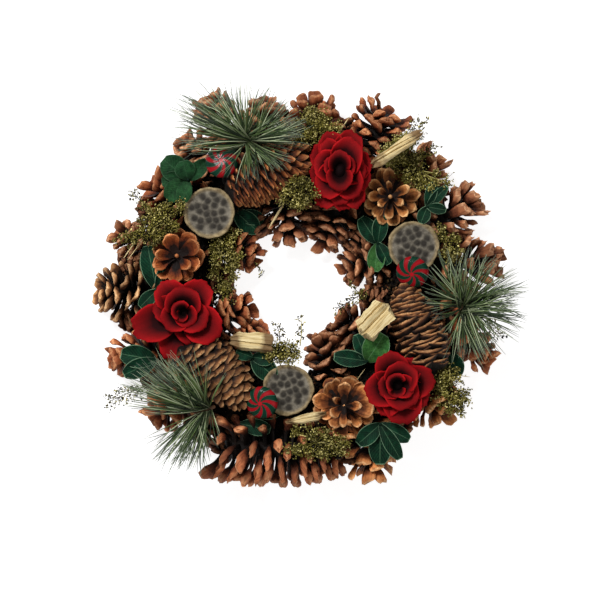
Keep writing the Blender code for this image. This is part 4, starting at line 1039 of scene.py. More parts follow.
# Each petal: aim in degrees, where it leaves and how far it reaches in mm, its foot and rim height as
# shares of the rose's height, and its half width in mm.
ROSE_PLACES = [
    RosePlace("rose_1240", (339.5, 171), (1.12, 1.36), 0.42, 0.46, [
        (12, 9, 24, 0.04, 0.30, 9), (62, 9, 25, 0.06, 0.34, 11), (112, 9, 25, 0.04, 0.34, 10),
        (150, 9, 24, 0.05, 0.32, 9), (188, 9, 22, 0.05, 0.28, 8), (234, 9, 26, 0.04, 0.28, 10),
        (276, 9, 24, 0.03, 0.26, 9), (306, 9, 26, 0.04, 0.28, 9), (342, 9, 23, 0.04, 0.30, 9),
        (57, 7, 21, 0.16, 0.66, 12.5), (124, 8, 21, 0.14, 0.48, 8), (166, 7, 19, 0.14, 0.58, 10),
        (222, 7, 20.5, 0.14, 0.56, 11), (316, 7, 20, 0.14, 0.54, 11), (3, 7, 19, 0.12, 0.50, 8.5),
        (265, 7, 21, 0.10, 0.42, 9), (92, 3.8, 11.5, 0.26, 0.90, 10.5), (160, 4.2, 12, 0.24, 0.78, 6.5),
        (22, 4.2, 12, 0.24, 0.80, 6.5), (266, 3.6, 13, 0.26, 0.88, 14)]),
    RosePlace("rose_0840", (184, 312.5), (1.0, 1.0), 0.20, 0.30, [
        (199, 12, 43, 0.28, 0.46, 14), (252, 12, 41, 0.10, 0.24, 12), (126, 10, 30, 0.20, 0.62, 12.5),
        (52, 10, 31, 0.15, 0.52, 12), (326, 10, 35, 0.20, 0.55, 15), (290, 9, 27, 0.15, 0.44, 11),
        (170, 8, 25, 0.20, 0.60, 11), (92, 6, 21, 0.26, 0.94, 17), (212, 6, 19, 0.26, 0.80, 13),
        (338, 6, 22, 0.24, 0.78, 14), (312, 3.2, 13, 0.34, 0.82, 12),
        (140, 3.4, 10, 0.36, 1.0, 11), (245, 2.6, 8, 0.42, 0.86, 6)]),
    RosePlace("rose_0430", (397, 385), (1.0, 1.0), 0.22, 0.34, [
        (108, 9, 28, 0.15, 0.62, 14), (52, 9, 26, 0.10, 0.48, 9.5), (8, 9, 30, 0.12, 0.54, 13),
        (193, 8, 27, 0.15, 0.60, 15), (288, 9, 33, 0.08, 0.42, 16), (236, 9, 27, 0.08, 0.40, 10),
        (332, 9, 28, 0.10, 0.44, 11), (66, 5.5, 20, 0.26, 0.92, 16), (190, 5.5, 16, 0.26, 0.78, 12),
        (304, 5.2, 21, 0.20, 0.72, 18), (350, 4.6, 14, 0.30, 0.84, 11), (124, 4.2, 10.5, 0.34, 1.0, 13),
        (250, 3.8, 10, 0.34, 0.80, 10)]),
]


def petal_patches(place, height, rng, rows=12, columns=19):
    """Petals as flaring patches round the flower's axis.

    With t from foot to rim and v from edge to edge, the outline is round because t is cut to
    t * (1 - lobe * |v| to the power 3.4), with small waves for the scalloped rim. The radius grows with t
    to the power 1.5 and the height with sin(t * 98 degrees), so a petal stands steep at its foot and
    flares at its rim. The half width, as an arc round the axis, grows from 50 percent to full, and the
    edges stand up by the scoop, a share of the petal's reach, times v squared.
    """
    aim, inner, outer, foot, top, half = (np.array(column, float)[:, None, None]
                                          for column in zip(*place.petals))
    v = np.linspace(-1, 1, columns)[None, None]
    phase = rng.uniform(0, 6.28, aim.shape)
    waves = 0.020 * np.cos(8 * v + phase) + 0.018 * np.cos(19 * v + 2.3 * phase)
    t = np.linspace(0.0, 1, rows)[None, :, None] * (1 - place.lobe * np.abs(v) ** 3.4 + waves)
    radius = inner + (outer - inner) * np.clip(t, 0, 2) ** 1.5 * rng.uniform(0.96, 1.03, aim.shape)
    rise = np.sin(t * np.radians(98)) - 0.10 * t ** 8
    z = height * (foot + (top - foot) * rise) + 1.1 * MM * np.sin(2.6 * v + phase) * t ** 2
    z = z + (outer - inner) * MM * place.scoop * v ** 2 * t
    profile = 0.50 + 0.50 * np.sin(np.clip(t * 1.4, 0, 1) * np.pi / 2)
    arc = np.minimum(1.18 * half * profile / radius, 1.6)
    angle = np.radians(aim) + v * arc + rng.normal(0, 0.04, aim.shape)
    grid = np.stack([radius * MM * np.cos(angle), radius * MM * np.sin(angle), z], -1)
    return sheets(grid, PETAL_THICKNESS, rng.random(len(place.petals)))


def shaving_finish():
    """Dyed shaving, crimson towards its rim and its edges. It is nearly black where a petal leaves and down
    its middle: painted shade in the rose's folds.
    """
    wood = Finish("rose_shaving", roughness=0.82, specular=0.12)
    grain = wood.noise(900, 4.0, (1, 1, 0.3))
    # Painted shade: dark at the foot and down the middle of each petal, crimson at its rim and edges.
    bowl = wood.sum("POWER", wood.sum("ABSOLUTE", wood.value("across")), 2.0)
    place = wood.sum("ADD", wood.value("along"), wood.line(bowl, 0.30, -0.24))
    fold_shade = wood.ramp(place, [(0.0, screen(16, 0, 2)), (0.36, screen(40, 1, 4)),
                             (0.64, screen(118, 6, 11)), (0.92, screen(166, 13, 19))])
    toned = wood.shade(fold_shade, wood.value("chance"), [(0.0, (0.78, 0.7, 0.7, 1)), (1.0, (1.12, 1.1, 1.1, 1))])
    wood.colour(wood.shade(toned, grain, [(0.3, (0.6, 0.5, 0.5, 1)), (0.7, 1.2)], 0.35))
    wood.relief(grain, 0.35, 0.3 * MM)
    return wood.material


ROSE_FINISH = shaving_finish()


def make_roses():
    """The three roses, each on the foot of its solid and round a dark core: a rod in the darkest tone, which
    is painted shade deep in the funnel.
    """
    for order, place in enumerate(ROSE_PLACES):
        low, high = (np.array(corner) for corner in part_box(place.node))
        height = (high - low)[2] - 1.5 * MM
        petals = petal_patches(place, height, np.random.default_rng(400 + order))
        # The core takes the darkest tone: painted shade at the bottom of the rose.
        core = marked(rod(spot(UP, 0, np.linspace(0, 0.5, 5) * height), 4.4 * MM, 10, 0.2), along=0)
        rose = moved(join([petals, core]), photo_place(place.pixel, low[2] + 0.5 * MM),
                     np.diag([*place.stretch, 1]))
        shape_object(place.node + "_petals", rose, ROSE_FINISH, [place.node])


make_roses()
print("roses:", sum(made_triangles[-3:]), "triangles")

# %% [markdown]
# ## Lotus pods
# A dried pod is a funnel with a nearly flat face. The face holds seeds in shallow pits, parted by pale
# ridges, inside a raised rim. The pits are spread over the face like sunflower seeds, and the height of
# the face at any point follows from how near the nearest seed is.

# %% Lotus pods
POD_SEEDS = 21
POD_SIDES = 84
POD_FACE_SHARE = 0.83
POD_PIT = 3.1 * MM
# The funnel and the rim, from the foot to the face, as shares of the pod's radius and of its height.
POD_SIDE_RADIUS = np.array([0.05, 0.16, 0.17, 0.22, 0.38, 0.62, 0.86, 0.97, 1.0, 1.0, 0.97, 0.93, 0.89,
                            POD_FACE_SHARE])
POD_SIDE_HEIGHT = np.array([0.0, 0.0, 0.10, 0.24, 0.40, 0.58, 0.76, 0.88, 0.93, 0.97, 1.0, 1.0, 0.975, 0.94])
POD_FACE_RADIUS = np.linspace(POD_FACE_SHARE, 0.03, 30)[1:]
PodPlace = namedtuple("PodPlace", "node turn aim lift", defaults=(0, 90))
POD_PLACES = [
    PodPlace("lotus_pod_1030", 10),
    PodPlace("lotus_pod_0215", 80),
    PodPlace("lotus_pod_06", 150),
]


def pod_shape(place, size, rng):
    """A pod along +Z with its face up: the funnel's profile, the rim, and the face with its seeds.

    A seed's bump is exp(-(d / w) squared) at the distance d, and its pit is a wider, deeper one below it.
    """
    radius, height, turn = size[0] / 2, size[2], place.turn
    k = np.arange(POD_SEEDS)
    seed_radius = radius * POD_FACE_SHARE * 0.90 * np.sqrt((k + 0.5) / POD_SEEDS)
    seed_outward, _ = rays(k * GOLDEN_ANGLE + turn + rng.normal(0, 0.10, POD_SEEDS))
    seeds = spot(seed_outward, seed_radius, 0)[:, :2]
    share = np.concatenate([POD_SIDE_RADIUS, POD_FACE_RADIUS])[:, None]
    level = np.concatenate([POD_SIDE_HEIGHT, np.full(len(POD_FACE_RADIUS), 0.93)])[:, None]
    angle = full_turn(POD_SIDES)
    wobble = 1 + 0.022 * np.cos(3 * angle + turn) + 0.012 * np.cos(7 * angle) + 0.008 * np.cos(16 * angle)
    r = share * radius * np.where(share > 0.3, wobble, 1)
    plan = np.stack([r * np.cos(angle), r * np.sin(angle)], -1)
    distance = np.linalg.norm(plan[:, :, None] - seeds, axis=-1).min(axis=-1)
    on_face = (np.arange(len(share)) >= len(POD_SIDE_RADIUS))[:, None]
    pit = np.exp(-(distance / POD_PIT) ** 4) * on_face
    bump = np.exp(-(distance / (POD_PIT * 0.55)) ** 2) * on_face
    z = level * height - 1.5 * MM * pit + 1.0 * MM * bump + 0.9 * MM * on_face * (1 - (r / radius) ** 2)
    values = {
        "pit": np.append(pit, [0, pit[-1].mean()]),
        "seed": np.append(bump, [0, bump[-1].mean()]),
        "rim": np.append(np.clip((r / radius - 0.80) / 0.12, 0, 1), [0, 0]),
    }
    return moved(turned(r, z, POD_SIDES)._replace(values=values), UP * -height / 2)


def pod_finish():
    """Dried pod: grey ridges between dark pits, dull seeds in them, and a browner rim and side. The
    near-black of the pits is partly the pod's own darker sockets and partly painted shade in them.
    """
    skin = Finish("pod_skin", roughness=0.78, specular=0.2)
    blotch, fine = skin.noise(260, 5.0), skin.noise(1500, 3.0)
    ridge = skin.ramp(blotch, [(0.3, screen(80, 74, 65)), (0.7, screen(132, 125, 111))])
    side = skin.ramp(blotch, [(0.3, screen(108, 92, 66)), (0.7, screen(168, 148, 110))])
    # The pits go nearly black: partly the pod's own darker sockets and partly painted shade in them.
    pitted = skin.mix(skin.sum("MULTIPLY", skin.value("pit"), 0.92), ridge, screen(20, 17, 14))
    seeded = skin.mix(skin.sum("MULTIPLY", skin.value("seed"), 0.45), pitted, screen(60, 55, 49))
    whole = skin.mix(skin.value("rim"), seeded, side)
    skin.colour(skin.shade(whole, fine, [(0.3, 0.6), (0.7, 1.2)], 0.5))
    skin.relief(skin.sum("ADD", blotch, fine), 0.6, 0.5 * MM)
    return skin.material


POD_FINISH = pod_finish()
for order, place in enumerate(POD_PLACES):
    dress(place, "_skin", pod_shape, POD_FINISH, 500 + order)
print("pods:", sum(made_triangles[-3:]), "triangles")

# %% [markdown]
# ## Round sweets
# The sweets are flat domes, glazed, with red and green stripes that swirl out from the middle. The
# stripes are computed in the finish from the sweet's own plan, which each point carries as two values,
# so they stay sharp at any distance. Shallow ridges follow the same swirl.

# %% Round sweets
SWEET_STRIPES = 7
SWEET_TWIST = 0.95
# Each sweet: solid, aim and lift of its axis in degrees, and where its stripes start.
SweetPlace = namedtuple("SweetPlace", "node aim lift turn")
SWEET_PLACES = [
    SweetPlace("sweet_11", 120, 76, 0.2),
    SweetPlace("sweet_0240", 250, 66, 1.1),
    SweetPlace("sweet_0620", 210, 70, 2.3),
]


def sweet_shape(place, size, _):
    """A flat dome along +Z: radius * cos(b) to the power 0.62 and height * sin(b) for b from about -90 to
    90 degrees, with ridges of 0.28 mm where cos(stripes * (angle + twist * share of the radius)) peaks.
    Nothing in it is left to chance."""
    radius, height = size[:2].max() / 2 - 0.2 * MM, size[2] * 0.95
    sides, rings = 96, 26
    b = np.linspace(-0.49, 0.497, rings)[:, None] * np.pi
    r = radius * np.cos(b) ** 0.62 * np.ones(sides)
    z = height / 2 * np.sin(b) * np.ones(sides)
    swirl = SWEET_STRIPES * (full_turn(sides) + SWEET_TWIST * (r / radius)) + place.turn
    ridge = np.abs(np.cos(swirl)) ** 0.5
    z = z + 0.28 * MM * ridge * (r / radius) * np.sign(z)
    sweet = turned(r + 0.20 * MM * ridge * np.cos(b), z, sides)
    plan = sweet.points[:, :2] / radius
    values = {"plan_x": plan[:, 0], "plan_y": plan[:, 1], "chance": np.full(len(plan), place.turn)}
    return sweet._replace(values=values)


def glaze_finish():
    """Glaze: a ramp of sin(stripes * (angle + twist * radius) + turn) in the sweet's plan gives the
    stripes, and a red disc lies in the middle."""
    glaze = Finish("sweet_glaze", roughness=0.55, specular=0.10)
    glaze.shader.inputs["Coat Weight"].default_value = 0.09
    glaze.shader.inputs["Coat Roughness"].default_value = 0.06
    x, y = glaze.value("plan_x"), glaze.value("plan_y")
    squares = [glaze.sum("POWER", glaze.sum("ABSOLUTE", value), 2.0) for value in (x, y)]
    radius = glaze.sum("SQRT", glaze.sum("ADD", *squares))
    swirl = glaze.sum("ADD", glaze.sum("ARCTAN2", y, x), glaze.sum("MULTIPLY", radius, SWEET_TWIST))
    wave = glaze.sum("SINE", glaze.line(swirl, float(SWEET_STRIPES), glaze.value("chance")))
    stripes = glaze.ramp(glaze.line(wave, 0.5, 0.5), [
        (0.0, screen(3, 50, 33)), (0.36, screen(2, 38, 26)), (0.44, screen(84, 108, 92)),
        (0.49, screen(10, 14, 12)), (0.53, screen(28, 5, 7)), (0.62, screen(124, 8, 16)),
        (1.0, screen(146, 12, 21))])
    disc = glaze.ramp(radius, [(0.10, 1), (0.16, 0)])
    glaze.colour(glaze.mix(disc, stripes, screen(164, 16, 26)))
    return glaze.material


GLAZE_FINISH = glaze_finish()
for place in SWEET_PLACES:
    dress(place, "_glaze", sweet_shape, GLAZE_FINISH, 0)
print("sweets:", sum(made_triangles[-3:]), "triangles")

# %% [markdown]
# ## Wood chips
# The pale chips are split, not sawn: their long edges are straight and sharp, and their ends are broken
# into splinters. A chip is a rough section of twelve corners carried along a slightly bowed line, whose
# ends are pulled out by a different amount at every corner.

# %% Wood chips
ChipPlace = namedtuple("ChipPlace", "node aim bow twist left right thick bark lift", defaults=(0,))
# Each chip: aim, bow in mm, twist in degrees, and the share of its length over which each end narrows,
# its thickness as a share of its solid's, and how brown its ends are.
CHIP_PLACES = [
    ChipPlace("chip_0740", -6, 0.8, 10, 0.22, 0.06, 1.2, 1.0),
    ChipPlace("chip_06", 12, 3.4, 40, 0.60, 0.25, 1.0, 0.7),
    ChipPlace("chip_0340", 46, 0.4, 4, 0.05, 0.07, 1.25, 0.3),
    ChipPlace("chip_01", 34, 2.4, 80, 0.10, 0.30, 1.2, 0.9),
]
CHIP_OUTLINE = np.array([(-1, -0.9), (0.2, -1), (1, -0.9), (1, 0.2), (0.72, 0.75), (0.60, 0.35), (0.30, 0.9),
                         (0.05, 0.95), (-0.05, 0.45), (-0.35, 1.0), (-0.80, 0.85), (-1, 0.2)])


def grain_places(points, scale=1):
    """The points as three values, which tell the finish where in the wood's grain each one lies."""
    return {"grain_" + axis: scale * points[:, i] for i, axis in enumerate("xyz")}


def chip_shape(place, size, rng):
    """A split bar along X: the outline is scaled along it, narrowed at both ends, bowed and twisted, and
    its ends are pulled out unevenly."""
    length, width, thickness = size[2], size[0], size[1] * place.thick
    stations, corners = 26, len(CHIP_OUTLINE)
    share = np.linspace(0, 1, stations)[:, None]
    taper = np.clip((share + 0.03) / place.left, 0, 1) ** 0.45
    taper = taper * np.clip((1.03 - share) / place.right, 0, 1) ** 0.45
    drift = np.cumsum(rng.normal(0, 0.035, (stations, corners)), axis=0)
    y = CHIP_OUTLINE[:, 0] * (1 + drift) * taper * width / 2
    z = CHIP_OUTLINE[:, 1] * (1 + drift) * taper ** 0.5 * thickness / 2
    turn = np.radians(place.twist) * (share - 0.5)
    y, z = y * np.cos(turn) - z * np.sin(turn), y * np.sin(turn) + z * np.cos(turn)
    z = z + place.bow * MM * np.sin(np.pi * share)
    fade = np.clip((np.abs(share - 0.5) - 0.30) / 0.20, 0, 1) * np.sign(share - 0.5)
    x = (share - 0.5) * length + fade * rng.uniform(-1, 0.4, corners) * 4 * MM
    inner_end = length / 2 - 1.5 * MM
    ends = np.array([[-inner_end, 0, z[0].mean()], [inner_end, 0, z[-1].mean()]])
    points = np.concatenate([np.stack([x, y, z], -1).reshape(-1, 3), ends])
    brown = place.bark * np.append(np.repeat(2 * np.abs(share - 0.5), corners), [1, 1])
    return Shape(points, *blade_faces(stations, corners), {**grain_places(points), "end": brown})


def wood_finish():
    """Split wood: a grain that is long along the wood's own X, dark in its lines, and brown ends."""
    wood = Finish("split_wood", roughness=0.7, specular=0.2)
    x, y, z = (wood.sum("MULTIPLY", wood.value("grain_" + axis), scale)
               for axis, scale in (("x", 60.0), ("y", 900.0), ("z", 900.0)))
    grain = wood.noise_at(x, y, z, 5.0)
    base = wood.ramp(grain, [(0.26, screen(84, 60, 32)), (0.34, screen(170, 142, 92)),
                             (0.48, screen(206, 184, 134)), (0.75, screen(228, 212, 168))])
    end = wood.line(wood.value("end"), 0.75, wood.sum("MULTIPLY", wood.noise(120, 3.0), 0.5))
    wood.colour(wood.mix(wood.ramp(end, [(0.52, 0), (0.76, 0.85)]), base, screen(96, 66, 38)))
    wood.relief(grain, 0.7, 0.6 * MM)
    return wood.material


WOOD_FINISH = wood_finish()
for order, place in enumerate(CHIP_PLACES):
    dress(place, "_wood", chip_shape, WOOD_FINISH, 600 + order, 28, AIM_FIRST)
print("chips:", sum(made_triangles[-4:]), "triangles")

# %% [markdown]
# A few slivers and twigs of the same wood lie loose between the pieces. Each is a thin tapered blade.

# %% Slivers and twigs
# Each line: pixel of both ends, height and half width in mm.
SLIVERS = [((284, 203), (269, 228), 42, 1.9), ((338, 134), (350, 116), 46, 0.9),
           ((124, 258), (137, 240), 48, 1.0),
           ((128, 260), (146, 236), 50, 0.7), ((357, 380), (365, 369), 40, 0.5),
           ((444, 372), (464, 384), 44, 0.7), ((450, 374), (470, 377), 42, 0.5),
           ((326, 128), (318, 140), 50, 0.8)]
SLIVER_WIDTH = np.array([0.5, 0.9, 1.0, 1.0, 0.8, 0.3]) * MM
sliver_lines = np.stack([np.linspace(photo_place(start, height * MM),
                                     photo_place(end, height * MM + 3 * MM), 6)
                         for start, end, height, half in SLIVERS])
sliver_widths = np.array([half for start, end, height, half in SLIVERS])[:, None] * SLIVER_WIDTH
slivers = blades(sliver_lines, np.tile([0.3, 0.5, 0.8], (len(SLIVERS), 1)), sliver_widths,
                 0.6 * sliver_widths, 6)
slivers = slivers._replace(values=grain_places(slivers.points, 3))
shape_object("wood_slivers", slivers, WOOD_FINISH)
print("slivers:", made_triangles[-1], "triangles")

# %% [markdown]
# ## Leaves
# The leaves are stamped cloth with a pale printed edge, a pale rib and fine veins. A leaf is a sheet: its
# middle line arches over, its halves rise a little from the rib, and its outline is an oval that is
# fullest past the middle.

# %% Leaves
LEAF_THICKNESS = 0.55 * MM
LEAF_STEP = 1.8 * MM
STEM_BELOW_KNOT = 12 * MM
SprigPlace = namedtuple("SprigPlace", "node knot leaves")
# Each leaf: aim in degrees, length and width in mm, rise in degrees, and how much of its paler underside
# shows, from 0 to 1.
SPRIG_PLACES = [
    SprigPlace("leaves_10", (188, 180), [(140, 27, 22, 16, 0.36), (184, 22, 16, 8, 0.36),
                                         (222, 24, 18, 12, 0.42),
                                          (44, 24, 13, 30, 0.36), (255, 20, 13, 10, 0.42),
                                          (104, 17, 17, 30, 0.36)]),
    SprigPlace("leaves_0930", (157, 290), [(102, 38, 18, 10, 0), (64, 26, 12, 8, 0), (226, 20, 12, 10, 0)]),
    SprigPlace("leaves_0830", (156, 360), [(170, 30, 19, 10, 0), (205, 30, 16, 6, 0)]),
    SprigPlace("leaves_02", (378, 243), [(124, 26, 15, 16, 0), (82, 24, 13, 22, 0), (264, 24, 15, 10, 0.8),
                                         (298, 20, 12, 10, 0)]),
    SprigPlace("leaves_0150", (427, 207), [(74, 22, 10, 22, 0), (46, 24, 9, 16, 0), (248, 15, 11, 20, 0),
                                            (350, 16, 9, 14, 0)]),
    SprigPlace("leaves_07", (252, 357), [(318, 26, 18, 10, 0), (352, 18, 12, 14, 0), (160, 14, 11, 8, 0)]),
    SprigPlace("leaves_04", (367, 361), [(112, 24, 12, 14, 0), (172, 28, 14, 8, 0), (60, 21, 19, 30, 0),
                                         (58, 29, 22, 34, 0.9)]),
    SprigPlace("leaves_05", (380, 424), [(270, 34, 19, 8, 0), (332, 28, 14, 10, 0), (222, 25, 15, 12, 0),
                                         (300, 34, 13, 4, 0)]),
]


def leaf_patches(leaves, rng, rows=17, columns=11):
    """Leaves that grow from the origin.

    A leaf's middle line leaves 12 degrees above its rise and bends down by 42 degrees on the way. At the
    share t its half width is W * (0.06 + 0.94 * sin(pi * (0.02 + 0.93 * t to the power 1.12)) to the power
    0.62), the halves lift from the rib by 30 percent of the half width, and a slow wave runs along the edge.
    """
    count = len(leaves)
    aim, length, width, rise, side = (np.array(column, float)[:, None] for column in zip(*leaves))
    t = np.linspace(0.0, 1, rows)[None]
    slope = np.radians(rise + 12 - 42 * t)
    step = length * MM / (rows - 1)
    forward, upward = ((np.cumsum(part * step, axis=1) - part[:, :1] * step)[..., None]
                       for part in (np.cos(slope), np.sin(slope)))
    v = np.linspace(-1, 1, columns)[None, None]
    half = (width * MM / 2 * (0.06 + 0.94 * np.sin(np.pi * (0.02 + 0.93 * t ** 1.12)) ** 0.62))[..., None]
    wave = 1.2 * MM * np.sin(5 * t[..., None] + rng.uniform(0, 6.28, (count, 1, 1))) * v * np.abs(v)
    z = upward + 0.30 * half * np.abs(v) ** 1.4 + wave
    outward, aside = (rows_of[:, :, None] for rows_of in rays(np.radians(aim)))
    grid = outward * forward[..., None] + aside * (half * v)[..., None] + UP * z[..., None]
    sheet = sheets(grid, LEAF_THICKNESS, 0.75 * rng.random(count))
    return marked(sheet, underside=np.repeat(side[:, 0], 2 * rows * columns))


def leaf_finish():
    """Printed cloth: green above, lighter below, with fine veins, a pale rib and a pale edge. The rib and
    the edge are strongest where the underside value is 0 or near 1. Each leaf also darkens towards its root,
    as painted shade where the leaves meet at the knot."""
    cloth = Finish("leaf_cloth", roughness=0.72, specular=0.12)
    along, underside = cloth.value("along"), cloth.value("underside")
    off_rib = cloth.sum("ABSOLUTE", cloth.value("across"))
    blotch, weave = cloth.noise(180, 4.0), cloth.noise(2600, 2.0)
    green = cloth.ramp(blotch, [(0.3, screen(1, 24, 15)), (0.7, screen(4, 50, 31))])
    light = cloth.ramp(blotch, [(0.3, screen(34, 86, 36)), (0.7, screen(78, 128, 62))])
    body = cloth.mix(cloth.sum("POWER", underside, 1.9), green, light)
    grained = cloth.shade(body, cloth.noise(700, 3.0), [(0.36, 0.72), (0.64, 1.3)])
    toned = cloth.shade(grained, cloth.value("chance"), [(0.0, (0.75, 0.8, 0.75, 1)),
                                                         (1.0, (1.35, 1.25, 1.3, 1))])
    # Painted shade: each leaf darkens towards its root.
    root_shaded = cloth.shade(toned, along, [(0.0, 0.45), (0.45, 1)])
    vein_phase = cloth.line(off_rib, -3.4, cloth.sum("MULTIPLY", along, 11.0))
    vein_wave = cloth.sum("COSINE", cloth.sum("MULTIPLY", vein_phase, 3.14159))
    vein = cloth.sum("POWER", cloth.sum("ABSOLUTE", vein_wave), 24.0)
    veined = cloth.mix(cloth.sum("MULTIPLY", vein, 0.07), root_shaded, screen(110, 160, 110))
    print_strength = cloth.sum("ABSOLUTE", cloth.line(underside, -2.2, 1.0))
    rib = cloth.sum("MULTIPLY", cloth.ramp(off_rib, [(0.0, 0.30), (0.05, 0)]), print_strength)
    ribbed = cloth.mix(rib, veined, screen(132, 178, 134))
    border = cloth.sum("MAXIMUM", cloth.sum("GREATER_THAN", off_rib, 0.955),
                       cloth.sum("GREATER_THAN", along, 0.975))
    edge = cloth.sum("MULTIPLY", border, cloth.sum("MULTIPLY", print_strength, 0.60))
    cloth.colour(cloth.mix(edge, ribbed, screen(126, 160, 126)))
    cloth.relief(cloth.sum("ADD", weave, vein), 0.25, 0.25 * MM)
    return cloth.material


def leaf_sprig(place, foot, rng):
    """One sprig: a short upright stem from the foot of its solid, and leaves one above the other on it."""
    count = len(place.leaves)
    knot = photo_place(place.knot, foot + STEM_BELOW_KNOT)
    line = np.linspace(photo_place(place.knot, foot + 1 * MM), knot + UP * LEAF_STEP * count, 5)
    leaves = leaf_patches(place.leaves, rng)
    steps = np.repeat(np.arange(count) * LEAF_STEP, len(leaves.points) // count)
    return join([marked(rod(line, 1.1 * MM, 8), along=0.2, across=0.5),
                 moved(leaves, knot + spot(UP, 0, steps))])


LEAF_FINISH = leaf_finish()
for order, place in enumerate(SPRIG_PLACES):
    low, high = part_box(place.node)
    sprig = leaf_sprig(place, low[2], np.random.default_rng(700 + order))
    shape_object(place.node + "_cloth", sprig, LEAF_FINISH, [place.node], 50)
print("leaf sprigs:", sum(made_triangles[-len(SPRIG_PLACES):]), "triangles")

# %% [markdown]
# ## Single leaves
# A few leaves of the same cloth are tucked in alone, half under the other pieces. They have no solid.

# %% Single leaves
# Each line: pixel, height in mm, and the leaf as in a sprig.
SINGLE_LEAVES = [
    ((234, 210), 26, (318, 27, 17, 4, 0)), ((236, 214), 24, (350, 24, 13, 2, 0)),
    ((302, 140), 44, (48, 22, 15, 14, 0)),
    ((240, 424), 36, (348, 26, 14, 6, 0)), ((450, 352), 34, (292, 22, 15, 4, 0)),
    ((256, 417), 34, (20, 26, 13, 2, 0)),
]
single_rng = np.random.default_rng(790)
single_leaves = [moved(leaf_patches([leaf], single_rng), photo_place(pixel, height * MM))
                 for pixel, height, leaf in SINGLE_LEAVES]
shape_object("leaves_single", join(single_leaves), LEAF_FINISH, crease=50)
print("single leaves:", made_triangles[-1], "triangles")

# %% [markdown]
# ## Moss
# Dried moss is a cloud of tiny beads on hair-thin stems. A bead is a stretched octahedron, eight faces,
# and a clump has many hundreds of them: most lie on the surface of a rough ellipsoid, some stand out of
# it, and short stems carry them.

# %% Moss
BEAD_POINTS = np.array([(1, 0, 0), (-1, 0, 0), (0, 1, 0), (0, -1, 0), (0, 0, 1.7), (0, 0, -1.7)], float)
BEAD_FACES = np.array([(0, 2, 4), (2, 1, 4), (1, 3, 4), (3, 0, 4), (2, 0, 5), (1, 2, 5), (3, 1, 5),
                       (0, 3, 5)])


def beads(places, size, rng, chance=None):
    """Moss beads at the places, each turned at random: a random axis becomes the bead's long one."""
    count = len(places)
    axis = unit(rng.normal(0, 1, (count, 3)))
    aside = unit(np.cross(axis, rng.normal(0, 1, (count, 3))))
    rows = np.stack([aside, np.cross(axis, aside), axis], 1)
    scale = (size * rng.uniform(0.6, 1.35, count))[:, None, None]
    points = np.einsum("pk,nkx->npx", BEAD_POINTS, rows) * scale + places[:, None]
    quads, triangles = copies(NO_QUADS, BEAD_FACES, count, len(BEAD_POINTS))
    chance = rng.random(count) if chance is None else chance
    return Shape(points.reshape(-1, 3), quads, triangles, {"chance": np.repeat(chance, len(BEAD_POINTS))})


def hairs(starts, ends, radius, rng, sides=3):
    """Thin bent stems between pairs of points, thinner at the end."""
    sag = rng.normal(0, 0.12, (len(starts), 3)) * np.linalg.norm(ends - starts, axis=1, keepdims=True)
    path = bent_line(starts, (starts + ends) / 2 + sag, ends, np.linspace(0, 1, 4))
    aside = unit(np.cross(ends - starts, rng.normal(0, 1, starts.shape)))
    width = radius * np.array([1.0, 0.85, 0.7, 0.5])
    return blades(path, aside, width, width, sides, chance=rng.random(len(starts)))


def moss_finish(name, dark, olive, light):
    """Moss: dark beads deep inside, which is painted shade in the clump, olive beads and a few pale ones."""
    moss = Finish(name, roughness=0.9, specular=0.15)
    tone = moss.ramp(moss.value("chance"), [(0.0, dark), (0.35, dark), (0.60, olive), (0.86, olive),
                                            (1.0, light)])
    patches = [(0.35, (0.6, 0.58, 0.55, 1)), (0.65, (1.25, 1.22, 1.0, 1))]
    moss.colour(moss.shade(tone, moss.noise(90, 3.0), patches, 0.9))
    moss.relief(moss.noise(900, 3.0), 0.8, 1.0 * MM)
    return moss.material


MOSS_FINISH = moss_finish("moss_olive", screen(20, 20, 7), screen(112, 106, 48), screen(228, 216, 148))
# The dark dry moss that packs the ring: partly its own colour and partly painted shade in the gaps.
DRY_MOSS_SHADE_FINISH = moss_finish("moss_dry_shade", screen(10, 6, 4), screen(34, 23, 14), screen(70, 58, 34))
# Each clump: solid, aim, how many beads, and how far it grows past its solid along its aim and across.
MossPlace = namedtuple("MossPlace", "node aim beads grow lift", defaults=(0,))
MOSS_PLACES = [
    MossPlace("moss_0930", 30, 2100, (1.65, 1.6)),
    MossPlace("moss_12", 0, 1300, (1.15, 1.25)),
    MossPlace("moss_12_inner", 70, 1300, (1.35, 1.6)),
    MossPlace("moss_0130", 330, 2300, (1.85, 1.7)),
    MossPlace("moss_0230", 300, 1000, (1.35, 1.15)),
    MossPlace("moss_0430", 300, 2200, (1.75, 1.75)),
    MossPlace("moss_0530", 0, 1800, (1.45, 1.5)),
    MossPlace("moss_09_inner", 270, 2000, (1.55, 1.55)),
    MossPlace("moss_0630", 10, 1200, (1.10, 1.30)),
]

# More patches: under the thin chip at 1 o'clock, which lies on it, on the cone at 12 o'clock, and by a rose.
# Each has its pixel, its height in mm, its aim, its half size in mm and the number of its beads.
MossPatch = namedtuple("MossPatch", "name pixel height aim half beads")
MOSS_PATCHES = [
    MossPatch("moss_under_chip", (398, 148), 52, 34, (19, 7, 20), 1900),
    MossPatch("moss_on_cone_12", (313, 117), 46, 8, (17, 7, 8), 900),
    MossPatch("moss_by_rose", (226, 294), 28, 100, (11, 6, 9), 500),
]


